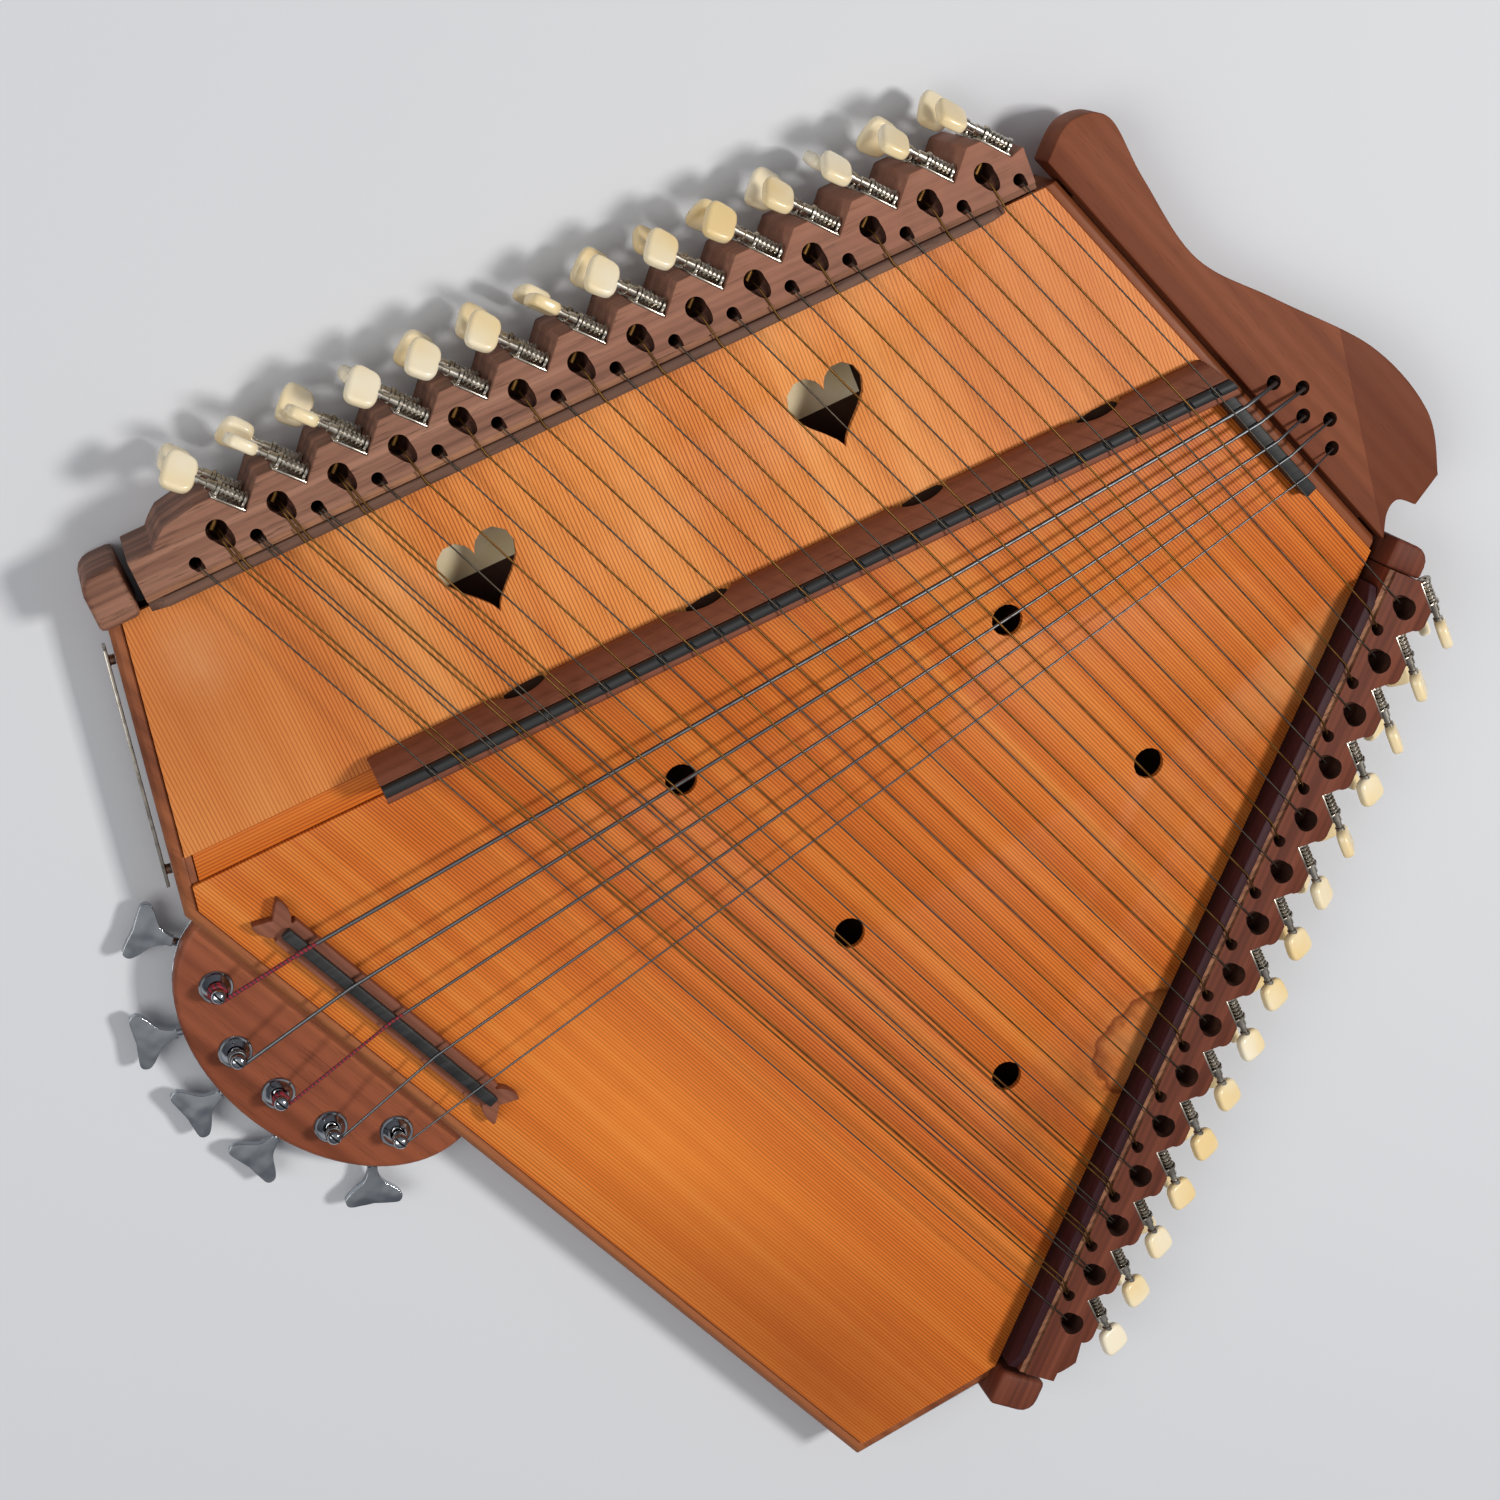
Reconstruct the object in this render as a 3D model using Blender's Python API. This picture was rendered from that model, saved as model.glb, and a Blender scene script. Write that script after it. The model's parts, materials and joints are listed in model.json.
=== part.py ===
# Trapezoid hammered dulcimer with geared tuners and a bank of five bass strings.
# Metres, +Z up. The instrument lies on its back: origin on the back face, at the middle of the body.
# +X runs along the treble strings, +Y away from the player.
import math

import bmesh
import bpy
from mathutils import Vector

# Body
BACK_T = 0.004
RIM_T = 0.012
RIM_MOULDING = 0.008
BOARD_T = 0.004
BOARD_TOP = 0.042
MOULDING_DROP = 0.002
MOULDING_CHAMFER = 0.003
FIT = 0.0003
BACK_MARGIN = 0.0318
CORNER_LEFT_X = 0.1395
CORNER_RIGHT_X = 0.0325
LEFT_BLOCK_PAST = 0.003
RIGHT_BLOCK_PAST = 0.007

# Rails and their tuner pattern
PITCH = 0.035
RAIL_ANGLE = math.radians(67.84)
HALF_SPAN = 0.3685
FIRST_HOLE_SETBACK = 0.1748
LEFT_TEETH = 14
RIGHT_TEETH = 15
SMALL_HOLE_IN = 0.01125
PEAK_OUT = 0.017
NOTCH_OUT = 0.0019
PEAK_FLAT = 0.0085
RAIL_TOP = 0.062
RAIL_IN = 0.0202
NUT_W = 0.0062
LEDGE_W = 0.006
LEDGE_BACK = 0.006
NUT_END_DROP = 0.006
NUT_END_RUN = 0.010
BIG_HOLE_R = 0.0057
SMALL_HOLE_R = 0.0032
BIG_HOLE_DEPTH = 0.016
SMALL_HOLE_DEPTH = 0.034
BIG_HOLE_SIDES = 10
SMALL_HOLE_SIDES = 6
SCOOP_R = 0.0046
SCOOP_LENGTH = 0.013
SCOOP_SIDES = 6
LEFT_FRONT_RUN = 0.049
LEFT_BACK_PAST = 0.0085
RIGHT_FRONT_RUN = 0.040
RIGHT_BACK_PAST = 0.001
BACK_BLOCK_LENGTH = 0.018
BLOCK_ROUND = 0.010
BLOCK_STEPS = 5
NECK_OUT = 0.0045
BLOCK_GAP = 0.0055
BLOCK_LENGTH = 0.023
BLOCK_TOP = 0.055
LOBE_ROUND = 0.006
LOBE_STEPS = 2
OGEE_RUN = 0.024
OGEE_COVE = 0.010
SHOULDER_OUT = 0.0135

# Geared tuners
UPPER_DROP = 0.007
ROW_STEP = 0.029
WORM_OUT = 0.0052
WORM_R = 0.0027
WORM_LENGTH = 0.0085
SHAFT_R = 0.0016
COLLAR_R = 0.0024
PLATE_L = 0.019
PLATE_H = 0.013
PLATE_T = 0.0012
EAR_T = 0.0014
EAR_W = 0.0064
RUN_FIT = 0.0003
SINK = 0.0005
BUTTON_REACH = 0.0200
BUTTON_L = 0.018
BUTTON_GAP = 0.0023
BUTTON_T = 0.007
KNOB_SIDES = 8
LOWER_SIDES = 6
EAR_SIDES = 8
EDGE_ON_LEFT = (1, 2, 6)
EDGE_ON_RIGHT = (10, 11, 12, 13, 14)
BUTTON_POWER = 3.0
BUTTON_FORM = ((0.0, 0.55, 0.8), (0.45, 1.0, 1.0), (1.0, 0.7, 0.8))

# Bridge, saddles, nuts and strings
BRACE_IN = 0.1633
BRACE_W = 0.0165
BRACE_DROP = 0.003
BRACE_LEDGE = 0.006
BRIDGE_IN = 0.1558
BRIDGE_W = 0.0212
BRIDGE_FRONT = 0.0178
BRIDGE_TOP = 0.070
BRIDGE_BATTER = 0.003
BRIDGE_BEVEL = 0.002
ARCH_CENTRE = 0.2929
ARCH_NEAR = 0.0685
ARCH_FAR = 0.1812
ARCH_W = 0.030
ARCH_H = 0.009
ARCH_DEPTH = 0.005
ARCH_STEPS = 8
BRIDGE_COVE = 0.012
BRIDGE_FOOT_TOP = 0.050
SADDLE_IN = 0.0095
SADDLE_W = 0.0068
SADDLE_SEAT = 0.006
SADDLE_TOP = 0.0735
SADDLE_CROWN = 0.0017
STRING_R = 0.0004
STRING_SIDES = 3
PAIR_STEP = 0.0030
PAIRED_COURSES = (1, 2, 3, 4, 5)

# Sound holes
HEART_W = 0.046
HEART_H = 0.047
HEART_IN = 0.0858
HEART_FIRST = 0.119
HEART_STEP = 0.2141
HEART_STEPS = 24
HEART_TERMS = (13, -5, -2, -1)
HEART_RANGE = 29
ROUND_R = 0.0096
ROUND_SIDES = 16
ROUND_BACKS = (0.2405, 0.4365)
ROUND_COUNTS = (3, 2)
ROUND_STEP_SHARES = (0.396, 0.361)
ROUND_MIDDLE_SHARE = 0.2014

# Wing
WING_GAP = 0.002
WING_T = 0.022
WING_TOP = 0.043
WING_SHARES = (-1.086, -1.132, -1.033, -0.768, -0.390, -0.032, 0.405, 0.770, 1.001)
WING_DEPTHS = (0.0, 0.024, 0.042, 0.034, 0.027, 0.046, 0.070, 0.070, 0.050)
NOTCH_SHARES = (1.021, 0.948, 0.955, 1.028)
NOTCH_DEPTHS = (0.028, 0.022, 0.012, 0.0)
WING_STEPS = 3
WING_TONGUE_INSET = 0.0145
WING_TONGUE_H = 0.010
WING_TONGUE_Z = 0.030
ANCHOR_R = 0.0045
ANCHOR_SHARES = (-0.268, -0.074, 0.083, 0.256, 0.428)
ANCHOR_DEPTHS = (0.0129, 0.0233, 0.0129, 0.0233, 0.0129)
ANCHOR_SIDES = 8

# Bass head, keys, posts and strings
HEAD_IN = 0.1145
HEAD_HALF = 0.104
HEAD_REACH = 0.070
HEAD_TOP = 0.030
HEAD_T = 0.014
HEAD_STEPS = 24
POST_SHARES = ((-0.678, 0.309), (-0.343, 0.624), (0.005, 0.674), (0.368, 0.626), (0.674, 0.317))
KEY_TURN = tuple(math.radians(a) for a in (202.0, 235.0, 257.0, 270.0, 316.0))
POST_R = 0.0030
POST_SHANK_R = 0.0042
POST_RISE = 0.0125
POST_CAP_R = 0.0044
POST_CAP_T = 0.0020
POST_SIDES = 10
BUSH_R = 0.0085
BUSH_H = 0.0022
WHEEL_R = 0.0090
WHEEL_T = 0.0060
WHEEL_DROP = 0.0010
WORM_GAP = 0.0005
BASS_WORM_R = 0.0034
KEY_SHAFT_R = 0.0026
LUG_T = 0.0040
LUG_WALL = 0.0022
LUG_AT = 0.0080
KEY_AT = 0.0300
KEY_L = 0.0230
KEY_W = 0.0290
KEY_T = 0.0050
KEY_SIDES = 8
KEY_STEPS = 2
KEY_FORM = ((0.0, 0.20), (0.30, 0.36), (0.55, 0.98), (0.85, 0.90), (0.90, 0.40), (0.97, 0.0))
BASS_STRING_R = (0.0013, 0.0011, 0.0009, 0.0008, 0.0006)
BASS_STRING_SIDES = 6
TURNS = 2
TURN_POINTS = 18
TURN_GAP = 0.0005
BASS_BRIDGE_BACK = 0.0313
BASS_BRIDGE_SHIFT = 0.0101
BASS_BRIDGE_L = 0.1880
BASS_BRIDGE_W = 0.0105
BASS_BRIDGE_H = 0.0085
LEAF_L = 0.018
LEAF_W = 0.020
LEAF_SHARES = ((-0.75, 1.0), (0.0, 1.0), (-0.33, 0.4), (0.2, 0.0))
BASS_SADDLE_L = 0.1630
BASS_SADDLE_W = 0.0048
BASS_SADDLE_H = 0.0055
BASS_CROSSINGS = (-0.0672, -0.0320, 0.0000, 0.0340, 0.0670)
BASS_NUT_GAP = 0.003
BASS_NUT_SHARE = 0.574
BASS_NUT_W = 0.0080
BASS_NUT_BACK = 0.0130
BASS_NUT_H = 0.0105

# Metal strip on the cut front corner
STRIP_END = 0.016
STRIP_H = 0.016
STRIP_T = 0.002
STRIP_STUD_R = 0.003
STRIP_STUD_L = 0.0035
STRIP_STUD_SIDES = 8

COS = math.cos(RAIL_ANGLE)
SIN = math.sin(RAIL_ANGLE)
BODY_DEPTH = FIRST_HOLE_SETBACK + (LEFT_TEETH - 1) * PITCH * SIN + BACK_MARGIN
FRONT_Y = -BODY_DEPTH / 2
BACK_Y = BODY_DEPTH / 2
FRONT_LEFT_X = CORNER_LEFT_X - HALF_SPAN
FRONT_RIGHT_X = HALF_SPAN - CORNER_RIGHT_X
FIRST_HOLE_Y = FRONT_Y + FIRST_HOLE_SETBACK
COURSE_STEP = PITCH * SIN / 2
RIGHT_HOLE_Y = FIRST_HOLE_Y - COURSE_STEP - SMALL_HOLE_IN * COS
FLANK_RUN = (PITCH - PEAK_FLAT) / 2
LEFT_BACK_RUN = PITCH / 2 + LEFT_BACK_PAST
RIGHT_BACK_RUN = PITCH / 2 + RIGHT_BACK_PAST
FLANK = math.atan2(PEAK_OUT - NOTCH_OUT, FLANK_RUN)
BUTTON_W = PITCH * math.sin(FLANK) - BUTTON_GAP
BOARD_BASE = BOARD_TOP - BOARD_T
RIM_TOP = BOARD_TOP - MOULDING_DROP
STRING_Z = RAIL_TOP + FIT + STRING_R
NUT_IN = RAIL_IN + NUT_W
LEFT_BLOCK_END = LEFT_FRONT_RUN + BLOCK_GAP + BLOCK_LENGTH
RIGHT_BLOCK_END = RIGHT_FRONT_RUN + BLOCK_GAP + BLOCK_LENGTH
CORNER_LEFT_Y = FIRST_HOLE_Y - LEFT_BLOCK_END * SIN - NUT_IN * COS + LEFT_BLOCK_PAST
CORNER_RIGHT_Y = RIGHT_HOLE_Y - RIGHT_BLOCK_END * SIN - NUT_IN * COS + RIGHT_BLOCK_PAST
KEY_Z = HEAD_TOP - HEAD_T - WHEEL_DROP - WHEEL_T / 2
WORM_OFFSET = WHEEL_R + WORM_GAP + BASS_WORM_R
HEAD_X = FRONT_LEFT_X + HEAD_IN
BASS_BRIDGE_X = HEAD_X + BASS_BRIDGE_SHIFT
LEFT, RIGHT = -1, 1
X, Y, UP = Vector((1, 0, 0)), Vector((0, 1, 0)), Vector((0, 0, 1))

for old in list(bpy.data.objects):
    bpy.data.objects.remove(old, do_unlink=True)


# Materials and mesh helpers
def finish(name, colour, roughness, metallic=0.0):
    material = bpy.data.materials.new(name)
    material.use_nodes = True
    shader = material.node_tree.nodes["Principled BSDF"]
    shader.inputs["Base Color"].default_value = (*colour, 1.0)
    shader.inputs["Roughness"].default_value = roughness
    shader.inputs["Metallic"].default_value = metallic
    return material


CEDAR = finish("cedar", (0.58, 0.20, 0.055), 0.45)
ROSEWOOD = finish("rosewood", (0.115, 0.048, 0.036), 0.55)
MAHOGANY = finish("mahogany", (0.15, 0.052, 0.028), 0.42)
EBONY = finish("ebony", (0.022, 0.023, 0.025), 0.4)
IVOROID = finish("cream_plastic", (0.83, 0.72, 0.44), 0.3)
NICKEL = finish("nickel", (0.62, 0.60, 0.56), 0.25, 1.0)
CHROME = finish("chrome", (0.55, 0.57, 0.60), 0.12, 1.0)
PLYWOOD = finish("plywood", (0.36, 0.19, 0.09), 0.6)


def shape(name, bm, material=None, pivot=(0, 0, 0)):
    bmesh.ops.recalc_face_normals(bm, faces=bm.faces)
    bmesh.ops.translate(bm, verts=bm.verts, vec=-Vector(pivot))
    mesh = bpy.data.meshes.new(name)
    bm.to_mesh(mesh)
    bm.free()
    obj = bpy.data.objects.new(name, mesh)
    obj.location = pivot
    bpy.context.collection.objects.link(obj)
    if material:
        mesh.materials.append(material)
    return obj


def smooth(obj, angle=math.radians(35)):
    obj.data.shade_smooth()
    obj.data.set_sharp_from_angle(angle=angle)
    return obj


def skin(rings):
    bm = bmesh.new()
    loops = [[bm.verts.new(point) for point in ring] for ring in rings]
    count = len(loops[0])
    for low, high in zip(loops, loops[1:]):
        for i in range(count):
            bm.faces.new((low[i], low[(i + 1) % count], high[(i + 1) % count], high[i]))
    bm.faces.new(list(reversed(loops[0])))
    bm.faces.new(loops[-1])
    return bm


def prism(outline, low, high):
    return skin([[(x, y, z) for x, y in outline] for z in (low, high)])


def ring(centre, across, up, half_across, half_up, sides, power=2.0):
    points = []
    for i in range(sides):
        turn = 2 * math.pi * (i + 0.5) / sides
        c, s = math.cos(turn), math.sin(turn)
        grow = (abs(c) ** power + abs(s) ** power) ** (-1 / power)
        points.append(centre + across * (half_across * c * grow) + up * (half_up * s * grow))
    return points


def turned(base, axis, profile, sides):
    across = axis.orthogonal().normalized() if abs(axis.z) > 0.5 else axis.cross(UP).normalized()
    up = axis.cross(across)
    return skin([ring(base + axis * along, across, up, r, r, sides) for along, r in profile])


def pin(base, axis, radius, length, sides):
    return turned(base, axis, ((0, radius), (length, radius)), sides)


def block(centre, axes, sizes):
    a, b, c = [axis * (size / 2) for axis, size in zip(axes, sizes)]
    corners = [centre + a * i + b * j for i, j in ((-1, -1), (1, -1), (1, 1), (-1, 1))]
    return skin([[corner + c * end for corner in corners] for end in (-1, 1)])


def tube(points, radius, sides):
    rings = []
    across = None
    for i, point in enumerate(points):
        before = (point - points[i - 1]).normalized() if i else None
        after = (points[i + 1] - point).normalized() if i < len(points) - 1 else before
        heading = after if before is None else (before + after).normalized()
        guide = UP if across is None else across
        if across is None and abs(heading.z) > 0.9:
            guide = Y
        across = (guide - heading * guide.dot(heading)).normalized()
        stretch = 1.0 if before is None else 1.0 / max(0.5, heading.dot(before))
        rings.append(ring(point, across, heading.cross(across), radius * stretch, radius, sides))
    return skin(rings)


def combine(target, operation, tools):
    group = bpy.data.collections.new("tools")
    for tool in tools:
        bpy.context.collection.objects.unlink(tool)
        group.objects.link(tool)
    bpy.context.scene.collection.children.link(group)
    change = target.modifiers.new("combine", "BOOLEAN")
    change.operation = operation
    change.operand_type = "COLLECTION"
    change.collection = group
    change.solver = "EXACT"
    result = bpy.data.meshes.new_from_object(target.evaluated_get(bpy.context.evaluated_depsgraph_get()))
    target.modifiers.clear()
    target.data = result
    for tool in tools:
        bpy.data.objects.remove(tool, do_unlink=True)
    bpy.data.collections.remove(group)
    return target


def rounded(points, steps):
    line = [Vector(p) for p in points]
    out = []
    for i in range(len(line) - 1):
        a = line[max(i - 1, 0)]
        b, c = line[i], line[i + 1]
        d = line[min(i + 2, len(line) - 1)]
        for k in range(steps):
            t = k / steps
            out.append(((b * 2 + (c - a) * t + (a * 2 - b * 5 + c * 4 - d) * t ** 2
                         + (b * 3 - a - c * 3 + d) * t ** 3) / 2))
    return out + [line[-1]]


# Rail coordinates: s runs along the holes from the player's end, t points in towards the boards
def on_rail(side, s, t):
    first = FIRST_HOLE_Y if side == LEFT else RIGHT_HOLE_Y
    return side * (HALF_SPAN - s * COS - t * SIN), first + s * SIN - t * COS


def rail_dir(side, s, t):
    return Vector((-side * (s * COS + t * SIN), s * SIN - t * COS, 0))


def rail_at_y(side, y, t):
    first = FIRST_HOLE_Y if side == LEFT else RIGHT_HOLE_Y
    s = (y - first + t * COS) / SIN
    return on_rail(side, s, t)


def teeth(side):
    return LEFT_TEETH if side == LEFT else RIGHT_TEETH


def inset(outline, distance):
    lines = []
    count = len(outline)
    for i in range(count):
        a, b = Vector(outline[i]), Vector(outline[(i + 1) % count])
        run = (b - a).normalized()
        lines.append((a + Vector((-run.y, run.x)) * distance, run))
    points = []
    for i in range(count):
        (p, u), (q, v) = lines[i - 1], lines[i]
        k = (q - p).cross(v) / u.cross(v)
        points.append(p + u * k)
    return points


# Plan of the body, counter-clockwise, with the rails' inner faces as its slanted sides
BODY_IN = NUT_IN + FIT
LEDGE_IN = NUT_IN + LEDGE_W
PANEL_IN = LEDGE_IN + FIT
LEFT_FRONT = rail_at_y(LEFT, CORNER_LEFT_Y, BODY_IN)
RIGHT_FRONT = rail_at_y(RIGHT, CORNER_RIGHT_Y, BODY_IN)
LEFT_BACK = rail_at_y(LEFT, BACK_Y, BODY_IN)
RIGHT_BACK = rail_at_y(RIGHT, BACK_Y, BODY_IN)
BODY = (LEFT_FRONT, (FRONT_LEFT_X, FRONT_Y), (FRONT_RIGHT_X, FRONT_Y), RIGHT_FRONT, RIGHT_BACK, LEFT_BACK)

PANEL = (rail_at_y(LEFT, CORNER_LEFT_Y, PANEL_IN), BODY[1], BODY[2],
         rail_at_y(RIGHT, CORNER_RIGHT_Y, PANEL_IN),
         rail_at_y(RIGHT, BACK_Y, PANEL_IN), rail_at_y(LEFT, BACK_Y, PANEL_IN))
shape("back_panel", prism(PANEL, 0.0, BACK_T), PLYWOOD)


# Rims: plain walls under a moulding with a chamfered outer edge
def rim(name, path, turn):
    outer = [Vector(p) for p in path]

    def offset(distance):
        points = []
        for i, point in enumerate(outer):
            runs = []
            if i:
                runs.append((point - outer[i - 1]).normalized())
            if i < len(outer) - 1:
                runs.append((outer[i + 1] - point).normalized())
            if len(runs) == 1:
                points.append(point + ends[0 if i == 0 else 1] * distance)
            else:
                normals = [Vector((-r.y, r.x)) * turn for r in runs]
                middle = (normals[0] + normals[1]).normalized()
                points.append(point + middle * (distance / middle.dot(normals[0])))
        return points

    ends = []
    for i, j, side in ((0, 1, LEFT), (-1, -2, RIGHT)):
        run = (outer[j] - outer[i]).normalized() * (1 if i == 0 else -1)
        normal = Vector((-run.y, run.x)) * turn
        slope = rail_dir(side, 1, 0).xy
        slope = slope * (1 if slope.dot(normal) > 0 else -1)
        ends.append(slope / slope.dot(normal))
    low = BACK_T + FIT
    seat = BOARD_BASE - FIT
    profile = ((0.0, low), (RIM_T, low), (RIM_T, seat), (RIM_MOULDING - FIT, seat),
               (RIM_MOULDING - FIT, RIM_TOP), (MOULDING_CHAMFER, RIM_TOP), (0.0, RIM_TOP - MOULDING_CHAMFER))
    strips = [[point.to_3d() + UP * z for point in offset(distance)] for distance, z in profile]
    return shape(name, skin(zip(*strips)), MAHOGANY)


rim("front_rim", (LEFT_FRONT, (FRONT_LEFT_X, FRONT_Y), (FRONT_RIGHT_X, FRONT_Y), RIGHT_FRONT), 1)
rim("back_rim", (LEFT_BACK, RIGHT_BACK), -1)


# Soundboards meet the brace with the fitting gap and sit inside the rim's moulding
def board_corner(t, y):
    return rail_at_y(LEFT, y, t)


def corner_line(t, distance):
    a, b = Vector(LEFT_FRONT), Vector((FRONT_LEFT_X, FRONT_Y))
    run = (b - a).normalized()
    a = a + Vector((-run.y, run.x)) * distance
    along = rail_dir(LEFT, 1, 0).xy
    base = Vector(on_rail(LEFT, 0, t))
    return tuple(base + along * ((a - base).cross(run) / along.cross(run)))


def cross_front(t):
    return corner_line(t, RIM_MOULDING)


BOARD_IN = BODY_IN
BOARD_BACK_Y = BACK_Y - RIM_MOULDING
BRACE_OUT = BRACE_IN + BRACE_W
left_outline = (cross_front(BOARD_IN), cross_front(BRACE_IN - FIT),
                board_corner(BRACE_IN - FIT, BOARD_BACK_Y), board_corner(BOARD_IN, BOARD_BACK_Y))
board_inset = inset(BODY, RIM_MOULDING)
right_corner = Vector(RIGHT_FRONT)
right_run = (right_corner - Vector((FRONT_RIGHT_X, FRONT_Y))).normalized()
edge_start = right_corner + Vector((-right_run.y, right_run.x)) * RIM_MOULDING
right_line = Vector(on_rail(RIGHT, 0, BOARD_IN))
right_along = rail_dir(RIGHT, 1, 0).xy
right_reach = (edge_start - right_line).cross(right_run) / right_along.cross(right_run)
right_low = right_line + right_along * right_reach
right_outline = (cross_front(BRACE_OUT + FIT), board_inset[1], board_inset[2], right_low,
                 rail_at_y(RIGHT, BOARD_BACK_Y, BOARD_IN), board_corner(BRACE_OUT + FIT, BOARD_BACK_Y))
left_board = shape("left_soundboard", prism(left_outline, BOARD_BASE, BOARD_TOP), CEDAR)
right_board = shape("right_soundboard", prism(right_outline, BOARD_BASE, BOARD_TOP), CEDAR)


def heart(centre):
    out = []
    along, inward = rail_dir(LEFT, 1, 0).xy, rail_dir(LEFT, 0, 1).xy
    for i in range(HEART_STEPS):
        a = 2 * math.pi * i / HEART_STEPS
        wide = math.sin(a) ** 3
        tall = sum(term * math.cos(k * a) for k, term in enumerate(HEART_TERMS, 1)) / HEART_RANGE
        out.append(Vector(centre) + along * (wide * HEART_W / 2) - inward * (tall * HEART_H))
    return out


cuts = []
for i in range(2):
    centre = on_rail(LEFT, HEART_FIRST + i * HEART_STEP, HEART_IN)
    cuts.append(shape("heart", prism(heart(centre), BOARD_BASE - BOARD_T, BOARD_TOP + BOARD_T)))
combine(left_board, "DIFFERENCE", cuts)
cuts = []
for row_back, row_count, row_step in zip(ROUND_BACKS, ROUND_COUNTS, ROUND_STEP_SHARES):
    for i in range(row_count):
        x = HALF_SPAN * (ROUND_MIDDLE_SHARE + (i - (row_count - 1) / 2) * row_step)
        base = Vector((x, FRONT_Y + row_back, BOARD_BASE - BOARD_T))
        cuts.append(shape("hole", pin(base, UP, ROUND_R, BOARD_T * 3, ROUND_SIDES)))
combine(right_board, "DIFFERENCE", cuts)

# Cross brace: a ledge under each board, its crown showing between them
brace_profile = ((BRACE_IN - BRACE_LEDGE, BACK_T + FIT), (BRACE_OUT + BRACE_LEDGE, BACK_T + FIT),
                 (BRACE_OUT + BRACE_LEDGE, BOARD_BASE - FIT), (BRACE_OUT, BOARD_BASE - FIT),
                 (BRACE_OUT, BOARD_TOP - BRACE_DROP), (BRACE_IN, BOARD_TOP - BRACE_DROP),
                 (BRACE_IN, BOARD_BASE - FIT), (BRACE_IN - BRACE_LEDGE, BOARD_BASE - FIT))
front_face = [(*corner_line(t, RIM_T + FIT), z) for t, z in brace_profile]
back_face = [(*rail_at_y(LEFT, BACK_Y - RIM_T - FIT, t), z) for t, z in brace_profile]
shape("cross_brace", skin([front_face, back_face]), CEDAR)


# Pin rails: a toothed edge outside, a rabbet for the nut inside
def rail_outline(side):
    count = teeth(side)
    front = LEFT_FRONT_RUN if side == LEFT else RIGHT_FRONT_RUN
    back = LEFT_BACK_RUN if side == LEFT else RIGHT_BACK_RUN
    last = (count - 1) * PITCH
    edge = [(-front, -NECK_OUT), (-OGEE_RUN - OGEE_COVE, -NECK_OUT), (-OGEE_RUN, -SHOULDER_OUT)]
    for k in range(count):
        s = k * PITCH
        if k:
            edge.append((s - PITCH / 2, -NOTCH_OUT))
        if side == RIGHT:
            for i in range(LOBE_STEPS):
                turn = math.pi / 2 * i / LOBE_STEPS
                edge.append((s - PEAK_FLAT / 2 - LOBE_ROUND * math.cos(turn),
                             LOBE_ROUND * (1 - math.sin(turn)) - PEAK_OUT))
        edge += [(s - PEAK_FLAT / 2, -PEAK_OUT), (s + PEAK_FLAT / 2, -PEAK_OUT)]
    edge += [(last + PITCH / 2, -NOTCH_OUT), (last + back, -NECK_OUT)]
    edge += [(last + back, RAIL_IN), (-front, RAIL_IN)]
    return [on_rail(side, s, t) for s, t in edge]


def ledge_outline(side):
    front = LEFT_FRONT_RUN if side == LEFT else RIGHT_FRONT_RUN
    back = LEFT_BACK_RUN if side == LEFT else RIGHT_BACK_RUN
    ends = (SINK - front, (teeth(side) - 1) * PITCH + min(back, LEDGE_BACK))
    return [on_rail(side, s, t) for s, t in ((ends[0], RAIL_IN - SINK), (ends[1], RAIL_IN - SINK),
                                             (ends[1], LEDGE_IN), (ends[0], LEDGE_IN))]


def tuner_frame(side, k):
    s = k * PITCH + (PEAK_FLAT + FLANK_RUN) / 2
    t = -(PEAK_OUT + NOTCH_OUT) / 2
    x, y = on_rail(side, s, t)
    along = rail_dir(side, -math.cos(FLANK), -math.sin(FLANK))
    outward = rail_dir(side, math.sin(FLANK), -math.cos(FLANK))
    return Vector((x, y, 0)), along, outward


WORM_HALF = WORM_LENGTH / 2
EAR_AT = WORM_HALF + FIT + EAR_T / 2


def knob_rings(base, along, across, up, sides):
    turning = ((-WORM_HALF, WORM_R), (WORM_HALF, WORM_R), (WORM_HALF, SHAFT_R), (BUTTON_REACH, COLLAR_R))
    rings = [ring(base + along * a, across, up, r, r, sides) for a, r in turning]
    return rings + button_rings(base, along, across, up, sides)


def button_rings(base, along, across, up, sides):
    rings = []
    for share, wide, thick in BUTTON_FORM:
        centre = base + along * (BUTTON_REACH + share * BUTTON_L)
        rings.append(ring(centre, across, up, wide * BUTTON_W / 2, thick * BUTTON_T / 2, sides, BUTTON_POWER))
    return rings


def plain_knob_rings(base, along, across, up, sides):
    turning = ((-WORM_HALF, WORM_R), (BUTTON_REACH, COLLAR_R))
    rings = [ring(base + along * a, across, up, r, r, sides) for a, r in turning]
    return rings + button_rings(base, along, across, up, sides)


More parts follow.
